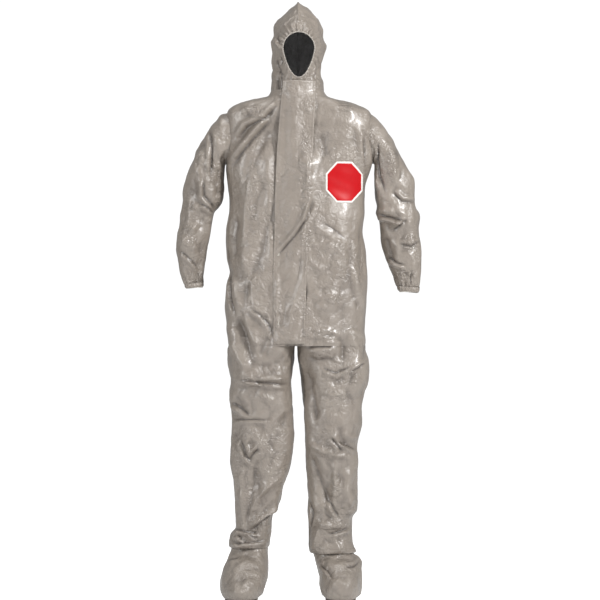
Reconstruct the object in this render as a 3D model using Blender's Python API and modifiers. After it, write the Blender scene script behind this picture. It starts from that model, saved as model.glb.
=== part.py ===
"""Chemical protective suit: a hooded coverall with a storm flap over its front zip, gathered
cuffs, and sock boots under splash flaps.

Metres, +Z up. The front faces -Y and the wearer's left is +X. The origin is on the floor between
the feet. Every cloth piece is a thin shell with its real openings, so the suit is hollow from the
hood to the sock boots. Right and left are the wearer's.
"""

import math

import bmesh
import bpy
from mathutils import Matrix, Vector

# Cloth and clearances
SHEET = 0.002  # wall of every cloth shell
GAP = 0.0004  # between neighbouring pieces

# Heights
HIP_Z = 0.800  # groin crease, where the legs hang from the body
KNEE_Z = 0.470
TORSO_LENGTH = 0.790  # groin crease to neck
ARMHOLE_DROP = 0.140  # neck to armhole centre
SHOULDER_DROP = 0.038  # neck to the top of the shoulder slope
UPPER_SLEEVE_DROP = 0.228  # armhole centre to elbow crease
NECK_Z = HIP_Z + TORSO_LENGTH
ARM_Z = NECK_Z - ARMHOLE_DROP
ELBOW_Z = ARM_Z - UPPER_SLEEVE_DROP

# Overall reach
HALF_SPAN = 0.390  # centre to the outside of each sleeve
HALF_DEPTH = 0.170  # centre to the toes, and to the seat

# Front: the placket is straight, so that the zip runs along it
FRONT_TOP_Y = -0.078  # at the neck
FRONT_BOTTOM_Y = -0.105  # at the groin crease
SIDE_SEAM_Y = 0.036
POWER = 4.0  # squareness of the body's cross-section

# Armholes and sleeves
ARMHOLE_RADIUS = 0.078  # outside of the sleeve's round root
ARMHOLE_CLEARANCE = 0.0005
ARMHOLE_X = 0.233  # centre to the armhole plane
ROOT_DEPTH = 0.020  # of the sleeve's root inside the armhole
ELBOW_HALF_DEPTH = 0.058
CUFF_LENGTH = 0.016
CUFF_DROPS = {-1: 0.246, 1: 0.260}  # elbow crease to the cuff's hem, right and left
ELASTIC_WALL = 0.001

# Trouser legs and sock boots
KNEE_BACK_Y = 0.098
SOCK_SEAM_Z = 0.200  # where the sock is sewn inside the leg
HEM_DROPS = {-1: 0.035, 1: 0.053}  # sock seam to the splash flap's hem, right and left
SOLE_THICKNESS = 0.0038

# Hood and face opening
HOOD_HEIGHT = 0.290
HOOD_SEAM_X = -0.006
FACE_CENTRE_X = -0.003
FACE_WIDEST = 0.139  # above the neck
FACE_HALF_WIDTH = 0.0507
FACE_ABOVE = 0.0524
FACE_BELOW = 0.089
FACE_ELASTIC_RADIUS = 0.002

# Zip
ZIP_X = -0.018
ZIP_BOTTOM_Z = HIP_Z + 0.032
ZIP_TOP_DROP = 0.010  # neck to the upper end of the tapes
TAPE_WIDTH = 0.016
TAPE_THICKNESS = 0.0006
TEETH_HALF_WIDTH = 0.0028
TEETH_LIFT = 0.0019  # teeth stand this far off the cloth
TEETH_THICKNESS = 0.0022
SLIDER_LENGTH = 0.014
SLIDER_HALF_WIDTH = 0.0045
SLIDER_PLATE = 0.0012
SLIDER_DROP = 0.024  # neck to the slider's middle when the zip is closed
DIVIDER_HALF_WIDTH = 0.0006
PULLER_LENGTH = 0.024
PULLER_WIDTH = 0.0054
PULLER_THICKNESS = 0.0008

# Storm flap: its sewn edge is on the wearer's left, its free edge on the right
FLAP_TOP = 0.035  # above the neck
FLAP_BOTTOM_Z = HIP_Z + 0.003
FLAP_FREE_X = (-0.084, -0.051)  # bottom, top
FLAP_SEWN_X = (0.014, 0.045)  # bottom, top
FLAP_THICKNESS = 0.001
FLAP_LIFT = 0.0095  # over the zip
ADHESIVE_WIDTH = 0.014
ADHESIVE_THICKNESS = 0.0004

# Badge on the left breast, an eight-sided patch
BADGE_X = 0.139
BADGE_DROP = 0.280  # neck to the badge's centre
BADGE_HALF_WIDTH = 0.059
BADGE_HALF_HEIGHT = 0.064
BADGE_BORDER = 0.005
BADGE_THICKNESS = 0.0006

CLOTH = (0.345, 0.320, 0.285)
RED = (0.720, 0.030, 0.035)
WHITE = (0.850, 0.840, 0.820)
ELASTIC = (0.620, 0.600, 0.560)
METAL = (0.350, 0.350, 0.340)


def clear_scene():
    for old in list(bpy.data.objects):
        bpy.data.objects.remove(old, do_unlink=True)


def collection(name, hidden=False):
    made = bpy.data.collections.new(name)
    bpy.context.scene.collection.children.link(made)
    made.hide_render = hidden
    return made


def material(name, colour, roughness, metallic=0.0):
    made = bpy.data.materials.new(name)
    made.use_nodes = True
    shader = made.node_tree.nodes["Principled BSDF"]
    shader.inputs["Base Color"].default_value = (*colour, 1.0)
    shader.inputs["Roughness"].default_value = roughness
    shader.inputs["Metallic"].default_value = metallic
    made.diffuse_color = (*colour, 1.0)
    return made


clear_scene()
SUIT = collection("chemical_protective_suit")
CUTTERS = collection("cutters", hidden=True)


def add_object(name, mesh, colour, roughness=0.45, metallic=0.0):
    """Link a sub-part with its own material, shaded smooth between its real edges."""
    obj = bpy.data.objects.new(name, mesh)
    SUIT.objects.link(obj)
    obj.data.materials.clear()
    obj.data.materials.append(material(name, colour, roughness, metallic))
    obj.data.shade_smooth()
    obj.data.set_sharp_from_angle(angle=math.radians(40))
    return obj


def add_cutter(name, mesh):
    obj = bpy.data.objects.new(name, mesh)
    CUTTERS.objects.link(obj)
    obj.hide_render = True
    obj.display_type = "WIRE"
    return obj


def boolean(obj, cutter, operation):
    cut = obj.modifiers.new(cutter.name, "BOOLEAN")
    cut.operation = operation
    cut.solver = "EXACT"
    cut.object = cutter
    return cut


def solidify(obj, thickness, offset):
    """Give an open surface its wall: offset -1 grows it inwards, +1 outwards."""
    wall = obj.modifiers.new("wall", "SOLIDIFY")
    wall.thickness = thickness
    wall.offset = offset
    wall.use_even_offset = True
    return wall


def box_mesh(name, low, high):
    """An upright box between two corners."""
    low, high = Vector(low), Vector(high)
    bm = bmesh.new()
    bmesh.ops.create_cube(bm, size=1.0)
    bmesh.ops.scale(bm, vec=high - low, verts=bm.verts)
    bmesh.ops.translate(bm, vec=(low + high) / 2, verts=bm.verts)
    mesh = bpy.data.meshes.new(name)
    bm.to_mesh(mesh)
    bm.free()
    return mesh


def section(a, b, front, back, power, sides):
    """Superellipse: its width runs from a to b, both (x, z), and its depth from front to back."""
    points = []
    for i in range(sides):
        turn = 2 * math.pi * i / sides
        across = math.copysign(abs(math.cos(turn)) ** (2 / power), math.cos(turn))
        deep = math.copysign(abs(math.sin(turn)) ** (2 / power), math.sin(turn))
        x = (a[0] + b[0]) / 2 + (b[0] - a[0]) / 2 * across
        z = (a[1] + b[1]) / 2 + (b[1] - a[1]) / 2 * across
        y = (front + back) / 2 + (back - front) / 2 * deep
        points.append((x, y, z))
    return points


def loft(name, rows, sides, close_bottom=False, close_top=False):
    """Skin the rows, lowest first, into one tube. A row is (a, b, front, back, power)."""
    bm = bmesh.new()
    rings = [[bm.verts.new(p) for p in section(*row, sides)] for row in rows]
    for lower, upper in zip(rings, rings[1:]):
        for i in range(sides):
            j = (i + 1) % sides
            bm.faces.new((lower[i], lower[j], upper[j], upper[i]))
    if close_bottom:
        bm.faces.new(list(reversed(rings[0])))
    if close_top:
        bm.faces.new(rings[-1])
    mesh = bpy.data.meshes.new(name)
    bm.to_mesh(mesh)
    bm.free()
    return mesh


def level_row(z, low_x, high_x, front, back, power=2.6):
    """A level cross-section."""
    return ((low_x, z), (high_x, z), front, back, power)


def grow(row, distance):
    """The same cross-section, a distance larger all round."""
    (ax, az), (bx, bz), front, back, power = row
    length = math.hypot(bx - ax, bz - az)
    ux, uz = (bx - ax) / length, (bz - az) / length
    a = (ax - ux * distance, az - uz * distance)
    b = (bx + ux * distance, bz + uz * distance)
    return (a, b, front - distance, back + distance, power)


def between(low, high, share):
    return low + (high - low) * share


def placket_y(z):
    """The straight front line from the groin crease to the neck, carried on above it."""
    return between(FRONT_BOTTOM_Y, FRONT_TOP_Y, (z - HIP_Z) / TORSO_LENGTH)


# ---- Body -------------------------------------------------------------------------------------

BODY_SIDES = 32
ARMPIT_Z = ARM_Z - ARMHOLE_RADIUS - 0.012


def torso_rows():
    """Cross-sections from the groin crease to the neck: height, right side, left side, back."""
    low = HIP_Z + GAP
    outline = [
        (low, -0.230, 0.205, 0.150),
        (between(low, ARMPIT_Z, 0.22), -0.239, 0.209, HALF_DEPTH),
        (between(low, ARMPIT_Z, 0.41), -0.222, 0.212, 0.162),
        (between(low, ARMPIT_Z, 0.56), -0.230, 0.206, 0.152),
        (between(low, ARMPIT_Z, 0.80), -0.222, 0.2035, 0.152),
        (ARMPIT_Z, -ARMHOLE_X, ARMHOLE_X, 0.155),
        (ARM_Z + ARMHOLE_RADIUS, -ARMHOLE_X, ARMHOLE_X, 0.150),
        (NECK_Z - SHOULDER_DROP, -0.195, 0.183, 0.140),
        (NECK_Z - SHOULDER_DROP * 0.42, -0.130, 0.122, 0.128),
        (NECK_Z, -0.092, 0.075, 0.116),
    ]
    return [level_row(z, right, left, placket_y(z), back, POWER) for z, right, left, back in outline]


def hood_rows():
    """Cross-sections from the neck to the hood's point."""
    chin = NECK_Z + 0.040
    outline = [
        (NECK_Z + GAP, -0.092, 0.075, placket_y(NECK_Z + GAP), 0.116, POWER),
        (chin, -0.090, 0.071, placket_y(chin), 0.118, POWER),
        (NECK_Z + HOOD_HEIGHT * 0.38, -0.088, 0.069, -0.092, 0.140, 2.6),
        (NECK_Z + HOOD_HEIGHT * 0.535, -0.090, 0.0755, -0.094, 0.148, 2.4),
        (NECK_Z + HOOD_HEIGHT * 0.62, -0.0905, 0.070, -0.090, 0.145, 2.4),
        (NECK_Z + HOOD_HEIGHT * 0.745, -0.0755, 0.061, -0.074, 0.130, 2.2),
        (NECK_Z + HOOD_HEIGHT * 0.86, -0.0465, 0.0355, -0.048, 0.100, 2.2),
        (NECK_Z + HOOD_HEIGHT * 0.95, -0.0215, 0.0105, -0.018, 0.066, 2.2),
        (NECK_Z + HOOD_HEIGHT, -0.012, 0.000, 0.000, 0.046, 2.2),
    ]
    return [level_row(*row) for row in outline]


def front_y(x, z):
    """The front of the body or hood at (x, z), from the same cross-sections."""
    rows = torso_rows() + hood_rows()
    upper = next(i for i, row in enumerate(rows) if row[0][1] >= z)
    upper = max(upper, 1)
    low, high = rows[upper - 1], rows[upper]
    share = (z - low[0][1]) / (high[0][1] - low[0][1])
    right, left = (between(low[i][0], high[i][0], share) for i in (0, 1))
    front, back, power = (between(low[i], high[i], share) for i in (2, 3, 4))
    across = abs(2 * x - right - left) / (left - right)
    depth = max(0.0, 1 - across**power) ** (1 / power)
    return (front + back) / 2 - (back - front) / 2 * depth


def region_cutter(name, x_range, y_range):
    """A tall box that keeps one panel's share of a shell."""
    low = (x_range[0], y_range[0], HIP_Z - 0.1)
    high = (x_range[1], y_range[1], NECK_Z + HOOD_HEIGHT + 0.1)
    return add_cutter(name, box_mesh(name, low, high))


def armhole_cutter(name, side):
    """A cylinder along X, from inside the side wall to past it."""
    bm = bmesh.new()
    radius = ARMHOLE_RADIUS + ARMHOLE_CLEARANCE
    turn = Matrix.Rotation(math.pi / 2, 4, "Y")
    bmesh.ops.create_cone(bm, cap_ends=True, segments=48, radius1=radius, radius2=radius,
                          depth=0.08, matrix=turn)
    centre = (side * (ARMHOLE_X - 0.005), SIDE_SEAM_Y, ARM_Z)
    bmesh.ops.translate(bm, vec=centre, verts=bm.verts)
    mesh = bpy.data.meshes.new(name)
    bm.to_mesh(mesh)
    bm.free()
    return add_cutter(name, mesh)


def build_body():
    """Two front panels that meet at the placket, and one back panel, with round armholes."""
    shell = loft("body_shell", torso_rows(), BODY_SIDES)
    armholes = [armhole_cutter("right_armhole", -1), armhole_cutter("left_armhole", 1)]
    front = (-1.0, SIDE_SEAM_Y - GAP / 2)
    regions = {
        "front_right_panel": ((-1.0, ZIP_X - GAP / 2), front),
        "front_left_panel": ((ZIP_X + GAP / 2, 1.0), front),
        "back_panel": ((-1.0, 1.0), (SIDE_SEAM_Y + GAP / 2, 1.0)),
    }
    for name, (x_range, y_range) in regions.items():
        panel = add_object(name, shell.copy(), CLOTH)
        solidify(panel, SHEET, -1)
        boolean(panel, region_cutter(f"{name}_region", x_range, y_range), "INTERSECT")
        for armhole in armholes:
            boolean(panel, armhole, "DIFFERENCE")


# ---- Hood -------------------------------------------------------------------------------------

def face_point(turn, inset=0.0):
    """A point of the egg-shaped face opening: wide above, narrow at the chin."""
    height = FACE_ABOVE if math.sin(turn) > 0 else FACE_BELOW
    x = FACE_CENTRE_X + (FACE_HALF_WIDTH - inset) * math.cos(turn)
    z = NECK_Z + FACE_WIDEST + (height - inset) * math.sin(turn)
    return x, z


def face_cutter():
    """The face opening's outline, carried through the front of the hood."""
    bm = bmesh.new()
    turns = [2 * math.pi * i / 40 for i in range(40)]
    outline = [bm.verts.new((x, -0.2, z)) for x, z in (face_point(turn) for turn in turns)]
    face = bm.faces.new(outline)
    grown = bmesh.ops.extrude_face_region(bm, geom=[face])["geom"]
    moved = [item for item in grown if isinstance(item, bmesh.types.BMVert)]
    bmesh.ops.translate(bm, vec=(0, 0.2, 0), verts=moved)
    bmesh.ops.recalc_face_normals(bm, faces=bm.faces)
    mesh = bpy.data.meshes.new("face_opening")
    bm.to_mesh(mesh)
    bm.free()
    return add_cutter("face_opening", mesh)


def mesh_from_curve(name, curve):
    """Turn a curve object into a mesh with welded ends, and remove the curve."""
    graph = bpy.context.evaluated_depsgraph_get()
    mesh = bpy.data.meshes.new_from_object(curve.evaluated_get(graph))
    mesh.name = name
    mesh.transform(curve.matrix_world)
    bm = bmesh.new()
    bm.from_mesh(mesh)
    bmesh.ops.remove_doubles(bm, verts=bm.verts, dist=0.00001)
    bmesh.ops.recalc_face_normals(bm, faces=bm.faces)
    bm.to_mesh(mesh)
    bm.free()
    bpy.data.objects.remove(curve, do_unlink=True)
    return mesh


def build_hood():
    """Two halves that meet in the centre seam, and the gathered elastic round the face."""
    shell = loft("hood_shell", hood_rows(), BODY_SIDES, close_top=True)
    opening = face_cutter()
    regions = {
        "hood_right_half": (-1.0, HOOD_SEAM_X - GAP / 2),
        "hood_left_half": (HOOD_SEAM_X + GAP / 2, 1.0),
    }
    for name, x_range in regions.items():
        half = add_object(name, shell.copy(), CLOTH)
        solidify(half, SHEET, -1)
        boolean(half, region_cutter(f"{name}_region", x_range, (-1.0, 1.0)), "INTERSECT")
        boolean(half, opening, "DIFFERENCE")

    data = bpy.data.curves.new("face_elastic", "CURVE")
    data.dimensions = "3D"
    data.bevel_depth = FACE_ELASTIC_RADIUS
    data.bevel_resolution = 2
    count = 40
    spline = data.splines.new("POLY")
    spline.points.add(count - 1)
    spline.use_cyclic_u = True
    for i, point in enumerate(spline.points):
        x, z = face_point(2 * math.pi * i / count, FACE_ELASTIC_RADIUS + GAP)
        point.co = (x, front_y(x, z) + SHEET / 2, z, 1.0)
    curve = bpy.data.objects.new("face_elastic_curve", data)
    SUIT.objects.link(curve)
    add_object("face_elastic", mesh_from_curve("face_elastic", curve), ELASTIC, 0.7)


# ---- Sleeves ----------------------------------------------------------------------------------

SLEEVE_SIDES = 24


def sleeve_row(side, outer, inner, half_depth, power=2.3):
    """A cross-section of a sleeve, whose middle hangs under the armhole's."""
    a, b = (outer, inner) if side < 0 else (inner, outer)
    front, back = SIDE_SEAM_Y - half_depth, SIDE_SEAM_Y + half_depth
    return (a, b, front, back, power)


def sleeve_rows(side):
    """Cuff, lower and upper sleeve, lowest row of each first.

    Each row is given by its outer point, its inner point and its half depth. A point is (x, z), or
    on the forearm (x, drop below the elbow crease).
    """
    if side < 0:
        cuff = ((-0.364, 0.0), (-0.305, 0.0))
        forearm = [((-0.3756, 0.192), (-0.3035, 0.192), 0.037),
                   ((-HALF_SPAN, 0.110), (-0.287, 0.110), 0.050)]
        elbow_x = (-0.378, -0.2735)
        upper = [((-0.370, ELBOW_Z + 0.040), (-0.262, ELBOW_Z + 0.028), 0.062),
                 ((-0.335, ARM_Z - 0.067), (-ARMHOLE_X - 0.0045, ARM_Z - ARMHOLE_RADIUS - 0.052), 0.072),
                 ((-0.279, ARM_Z + 0.029), (-ARMHOLE_X - 0.0045, ARM_Z - ARMHOLE_RADIUS - 0.006), ARMHOLE_RADIUS)]
    else:
        cuff = ((0.3745, 0.0), (0.3115, 0.0))
        forearm = [((0.3840, 0.210), (0.295, 0.206), 0.037),
                   ((HALF_SPAN, 0.154), (0.269, 0.152), 0.045),
                   ((0.381, 0.089), (0.254, 0.089), 0.052)]
        elbow_x = (0.374, 0.2525)
        upper = [((0.3655, ELBOW_Z + 0.065), (0.243, ELBOW_Z + 0.030), 0.063),
                 ((0.342, ARM_Z - 0.095), (ARMHOLE_X + 0.0045, ARM_Z - ARMHOLE_RADIUS - 0.052), 0.072),
                 ((0.2843, ARM_Z + 0.006), (ARMHOLE_X + 0.0045, ARM_Z - ARMHOLE_RADIUS - 0.006), ARMHOLE_RADIUS)]
    (outer_x, _), (inner_x, _) = cuff
    cuff_z = ELBOW_Z - CUFF_DROPS[side]
    seam_z = cuff_z + CUFF_LENGTH
    cuff_rows = [sleeve_row(side, (outer_x, z), (inner_x, z), 0.030)
                 for z in (cuff_z, seam_z - GAP)]
    elbow = [(elbow_x[0], ELBOW_Z), (elbow_x[1], ELBOW_Z)]
    lower_rows = [sleeve_row(side, (outer_x, seam_z), (inner_x, seam_z), 0.030)]
    lower_rows += [sleeve_row(side, *[(x, ELBOW_Z - drop) for x, drop in ends], half_depth)
                   for *ends, half_depth in forearm]
    lower_rows.append(sleeve_row(side, *[(x, z - GAP) for x, z in elbow], ELBOW_HALF_DEPTH))
    upper_rows = [sleeve_row(side, *[(x, z + GAP) for x, z in elbow], ELBOW_HALF_DEPTH)]
    upper_rows += [sleeve_row(side, *row) for row in upper]
    for x in (side * (ARMHOLE_X + 0.003), side * (ARMHOLE_X - ROOT_DEPTH)):
        top, bottom = (x, ARM_Z + ARMHOLE_RADIUS), (x, ARM_Z - ARMHOLE_RADIUS)
        upper_rows.append(sleeve_row(side, top, bottom, ARMHOLE_RADIUS, power=2.0))
    return cuff_rows, lower_rows, upper_rows


def build_sleeve(word, side):
    """Upper sleeve with a round root in the armhole, lower sleeve, cuff hem and its elastic."""
    cuff_rows, lower_rows, upper_rows = sleeve_rows(side)
    pieces = {"cuff": cuff_rows, "lower_sleeve": lower_rows, "upper_sleeve": upper_rows}
    for part, rows in pieces.items():
        name = f"{word}_{part}"
        solidify(add_object(name, loft(name, rows, SLEEVE_SIDES), CLOTH), SHEET, -1)
    inside = [grow(row, -SHEET - GAP) for row in cuff_rows]
    name = f"{word}_wrist_elastic"
    middle = [tuple(between(a, b, share) for a, b in zip(inside[0][0], inside[1][0]))
              for share in (0.25, 0.75)]
    band = [grow(((inside[0][0][0], z), (inside[0][1][0], z), *inside[0][2:]), 0.0)
            for _, z in middle]
    solidify(add_object(name, loft(name, band, SLEEVE_SIDES), ELASTIC, 0.7), ELASTIC_WALL, -1)


# ---- Trouser legs and sock boots --------------------------------------------------------------

LEG_SIDES = 24


def leg_rows(side):
    """Thigh, shin, sock boot and sole of one leg, lowest row of each first.

    The boot's rows are given by their share of the sock seam's height.
    """
    hem_z = SOCK_SEAM_Z - HEM_DROPS[side]
    if side < 0:
        thigh = [(-0.217, -0.024), (-0.226, -0.0275)]
        groin, knee = (-0.230, -0.0155), (-0.219, -0.030)
        shin = [(-0.2045, -0.0858), (-0.209, -0.045)]
        hem, sock_top = (-0.223, -0.0955), (-0.213, -0.088)
        boot = [(0.10, -0.246, -0.120), (0.30, -0.2495, -0.1085), (0.50, -0.240, -0.1015),
                (0.725, -0.2215, -0.1000)]
        neck, sole = (-0.2175, -0.1010), (-0.236, -0.132)
    else:
        thigh = [(0.0107, 0.193), (0.001, 0.2135)]
        groin, knee = (-0.0095, 0.205), (0.0165, 0.183)
        shin = [(0.026, 0.184), (0.0245, 0.1855)]
        hem, sock_top = (0.033, 0.185), (0.028, 0.168)
        boot = [(0.10, 0.070, 0.188), (0.30, 0.060, 0.193), (0.50, 0.052, 0.192),
                (0.65, 0.044, 0.187)]
        neck, sole = (0.0385, 0.1760), (0.080, 0.176)
    thigh_at = [(0.394, -0.085, 0.115), (0.757, -0.096, 0.140)]  # share of knee to groin, depths
    shin_at = [(0.267, -0.048, 0.098), (0.593, -0.060, 0.100)]  # share of sock seam to knee, depths
    boot_depth = [(-HALF_DEPTH, 0.117), (-0.160, 0.118), (-0.110, 0.112), (-0.052, 0.098)]
    thigh_rows = [level_row(KNEE_Z + GAP, *knee, -0.072, KNEE_BACK_Y)]
    thigh_rows += [level_row(between(KNEE_Z, HIP_Z, share), *ends, *depths)
                   for ends, (share, *depths) in zip(thigh, thigh_at)]
    thigh_rows.append(level_row(HIP_Z - GAP, *groin, -0.100, 0.150, 3.0))
    sewn = level_row(SOCK_SEAM_Z, *sock_top, -0.045, 0.098)
    shin_rows = [level_row(hem_z, *hem, -0.051, 0.101), sewn]
    shin_rows += [level_row(between(SOCK_SEAM_Z, KNEE_Z, share), *ends, *depths)
                  for ends, (share, *depths) in zip(shin, shin_at)]
    shin_rows.append(level_row(KNEE_Z - GAP, *knee, -0.072, KNEE_BACK_Y))
    boot_rows = [level_row(SOLE_THICKNESS + GAP, *sole, -0.156, 0.106)]
    boot_rows += [level_row(share * SOCK_SEAM_Z, *ends, *depth)
                  for (share, *ends), depth in zip(boot, boot_depth)]
    boot_rows.append(level_row(hem_z + 0.010, *neck, -0.042, 0.093))
    boot_rows.append(grow(sewn, -SHEET - 2 * GAP))
    sole_rows = [level_row(z, *sole, -0.156, 0.106) for z in (0.0, SOLE_THICKNESS)]
    return thigh_rows, shin_rows, boot_rows, sole_rows


def build_leg(word, side):
    """Thigh, shin with its splash flap, sock boot sewn inside it, and the sole patch."""
    thigh_rows, shin_rows, boot_rows, sole_rows = leg_rows(side)
    for part, rows in {"thigh": thigh_rows, "shin": shin_rows}.items():
        name = f"{word}_{part}"
        solidify(add_object(name, loft(name, rows, LEG_SIDES), CLOTH), SHEET, -1)
    name = f"{word}_sock_boot"
    boot = add_object(name, loft(name, boot_rows, LEG_SIDES, close_bottom=True), CLOTH)
    solidify(boot, SHEET, -1)
    name = f"{word}_sole"
    sole = loft(name, sole_rows, LEG_SIDES, close_bottom=True, close_top=True)
    add_object(name, sole, CLOTH, 0.6)


# ---- Front closure ----------------------------------------------------------------------------

def strip(name, columns, heights, thickness, colour, roughness=0.45):
    """A thin strip over the front. A column is (x at the bottom, x at the top, lift off the
    cloth), from the wearer's right to the left, and the strip grows outwards."""
    bm = bmesh.new()
    low, high = heights[0], heights[-1]
    rows = []
    for z in heights:
        share = (z - low) / (high - low)
        row = []
        for bottom_x, top_x, lift in columns:
            x = between(bottom_x, top_x, share)
            row.append(bm.verts.new((x, front_y(x, z) - lift, z)))
        rows.append(row)
    for lower, upper in zip(rows, rows[1:]):
        for i in range(len(columns) - 1):
            bm.faces.new((lower[i], lower[i + 1], upper[i + 1], upper[i]))
    mesh = bpy.data.meshes.new(name)
    bm.to_mesh(mesh)
    bm.free()
    obj = add_object(name, mesh, colour, roughness)
    solidify(obj, thickness, 1)
    return obj


def placket_box(name, x_range, z_range, lift_range):
    """A small block on the placket, leaning with it. Heights are along the placket."""
    lean = math.atan2(FRONT_TOP_Y - FRONT_BOTTOM_Y, TORSO_LENGTH)
    mesh = box_mesh(name, (x_range[0], -lift_range[1], z_range[0]),
                    (x_range[1], -lift_range[0], z_range[1]))
    middle = (z_range[0] + z_range[1]) / 2
    mesh.transform(Matrix.Translation((0, 0, -middle)))
    mesh.transform(Matrix.Rotation(-lean, 4, "X"))
    mesh.transform(Matrix.Translation((0, placket_y(middle), middle)))
    return mesh


def torso_heights(low, high):
    """The row heights between two heights, and the two themselves."""
    inside = {row[0][1] for row in torso_rows() + hood_rows() if low + 0.005 < row[0][1] < high - 0.005}
    return [low, *sorted(inside), high]


def build_zip():
    """Tapes, two rows of teeth, stops, slider and puller, all between the cloth and the flap."""
    top = NECK_Z - ZIP_TOP_DROP
    heights = torso_heights(ZIP_BOTTOM_Z, top)
    middle_lift = TEETH_LIFT + TEETH_THICKNESS / 2 - TAPE_THICKNESS / 2
    for word, side in (("right", -1), ("left", 1)):
        edge = TEETH_HALF_WIDTH + GAP
        profile = [(edge, middle_lift), (edge + 0.005, middle_lift), (edge + 0.010, GAP),
                   (edge + TAPE_WIDTH, GAP)]
        columns = [(ZIP_X + side * across,) * 2 + (lift,) for across, lift in profile]
        columns.sort()
        strip(f"{word}_zip_tape", columns, heights, TAPE_THICKNESS, METAL, 0.8)

    slider_z = NECK_Z - SLIDER_DROP
    slider_low, slider_high = slider_z - SLIDER_LENGTH / 2, slider_z + SLIDER_LENGTH / 2
    divider_low = slider_z + 0.002
    teeth_lift = (TEETH_LIFT, TEETH_LIFT + TEETH_THICKNESS)
    stop_height = 0.006
    for word, side in (("right", -1), ("left", 1)):
        x_range = sorted((ZIP_X + side * GAP / 2, ZIP_X + side * TEETH_HALF_WIDTH))
        z_range = (ZIP_BOTTOM_Z + stop_height + GAP, divider_low - GAP)
        teeth = placket_box(f"{word}_zip_teeth", x_range, z_range, teeth_lift)
        add_object(f"{word}_zip_teeth", teeth, METAL, 0.5)
        x_range = sorted((ZIP_X + side * 2 * GAP, ZIP_X + side * TEETH_HALF_WIDTH))
        stop = placket_box(f"{word}_top_stop", x_range, (slider_high + GAP, slider_high + 0.004),
                           teeth_lift)
        add_object(f"{word}_top_stop", stop, METAL, 0.35, 1.0)
    x_range = (ZIP_X - TEETH_HALF_WIDTH, ZIP_X + TEETH_HALF_WIDTH)
    stop = placket_box("zip_bottom_stop", x_range, (ZIP_BOTTOM_Z, ZIP_BOTTOM_Z + stop_height),
                       (GAP, teeth_lift[1]))
    add_object("zip_bottom_stop", stop, METAL, 0.35, 1.0)

    plate_x = (ZIP_X - SLIDER_HALF_WIDTH, ZIP_X + SLIDER_HALF_WIDTH)
    plate_z = (slider_low, slider_high)
    back_lift = (TEETH_LIFT - GAP - SLIDER_PLATE + 0.0002, TEETH_LIFT - GAP)
    front_lift = (teeth_lift[1] + GAP, teeth_lift[1] + GAP + SLIDER_PLATE)
    slider = add_object("zip_slider", placket_box("zip_slider", plate_x, plate_z, front_lift),
                        METAL, 0.35, 1.0)
    ear_z = (slider_high - 0.004, slider_high - 0.001)
    ear_lift = (front_lift[1] - 0.0002, front_lift[1] + 0.0018)
    ear_in = PULLER_WIDTH / 2 + GAP
    joined = {
        "slider_back_plate": (plate_x, plate_z, back_lift),
        "slider_divider": ((ZIP_X - DIVIDER_HALF_WIDTH, ZIP_X + DIVIDER_HALF_WIDTH),
                           (divider_low, slider_high - 0.0005),
                           (back_lift[1] - 0.0002, front_lift[0] + 0.0002)),
        "slider_right_ear": ((ZIP_X - ear_in - 0.0012, ZIP_X - ear_in), ear_z, ear_lift),
        "slider_left_ear": ((ZIP_X + ear_in, ZIP_X + ear_in + 0.0012), ear_z, ear_lift),
    }
    for name, ranges in joined.items():
        boolean(slider, add_cutter(name, placket_box(name, *ranges)), "UNION")
    pivot_z = (ear_z[0] + ear_z[1]) / 2
    puller_lift = (front_lift[1] + GAP, front_lift[1] + GAP + PULLER_THICKNESS)
    puller = placket_box("zip_puller", (ZIP_X - PULLER_WIDTH / 2, ZIP_X + PULLER_WIDTH / 2),
                         (pivot_z + 0.0005 - PULLER_LENGTH, pivot_z + 0.0005), puller_lift)
    add_object("zip_puller", puller, METAL, 0.35, 1.0)


def build_storm_flap():
    """The flap arches over the zip, and an adhesive strip inside its free edge shuts it."""
    free, sewn = FLAP_FREE_X, FLAP_SEWN_X
    seat = ADHESIVE_THICKNESS + 2 * GAP
    shoulder = 0.014
    columns = [
        (free[0], free[1], seat),
        (free[0] + ADHESIVE_WIDTH, free[1] + ADHESIVE_WIDTH, seat),
        (ZIP_X - shoulder, ZIP_X - 0.010, FLAP_LIFT),
        (ZIP_X + 0.010, ZIP_X + shoulder, FLAP_LIFT),
        (sewn[0], sewn[1], 2 * GAP),
    ]
    heights = torso_heights(FLAP_BOTTOM_Z, NECK_Z + FLAP_TOP)
    strip("storm_flap", columns, heights, FLAP_THICKNESS, CLOTH)
    strip_edges = [(free[0] + 0.002, free[1] + 0.002, GAP),
                   (free[0] + ADHESIVE_WIDTH - 0.002, free[1] + ADHESIVE_WIDTH - 0.002, GAP)]
    strip("adhesive_strip", strip_edges, heights, ADHESIVE_THICKNESS, WHITE, 0.6)


# ---- Badge ------------------------------------------------------------------------------------

def badge_prism(name, inset):
    """An eight-sided prism through the left breast."""
    bm = bmesh.new()
    reach = 1 / math.cos(math.pi / 8)
    outline = []
    for i in range(8):
        turn = math.pi / 8 + i * math.pi / 4
        x = BADGE_X + (BADGE_HALF_WIDTH - inset) * reach * math.cos(turn)
        z = NECK_Z - BADGE_DROP + (BADGE_HALF_HEIGHT - inset) * reach * math.sin(turn)
        outline.append(bm.verts.new((x, -0.3, z)))
    face = bm.faces.new(outline)
    grown = bmesh.ops.extrude_face_region(bm, geom=[face])["geom"]
    moved = [item for item in grown if isinstance(item, bmesh.types.BMVert)]
    bmesh.ops.translate(bm, vec=(0, 0.3, 0), verts=moved)
    bmesh.ops.recalc_face_normals(bm, faces=bm.faces)
    mesh = bpy.data.meshes.new(name)
    bm.to_mesh(mesh)
    bm.free()
    return add_cutter(name, mesh)


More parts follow.
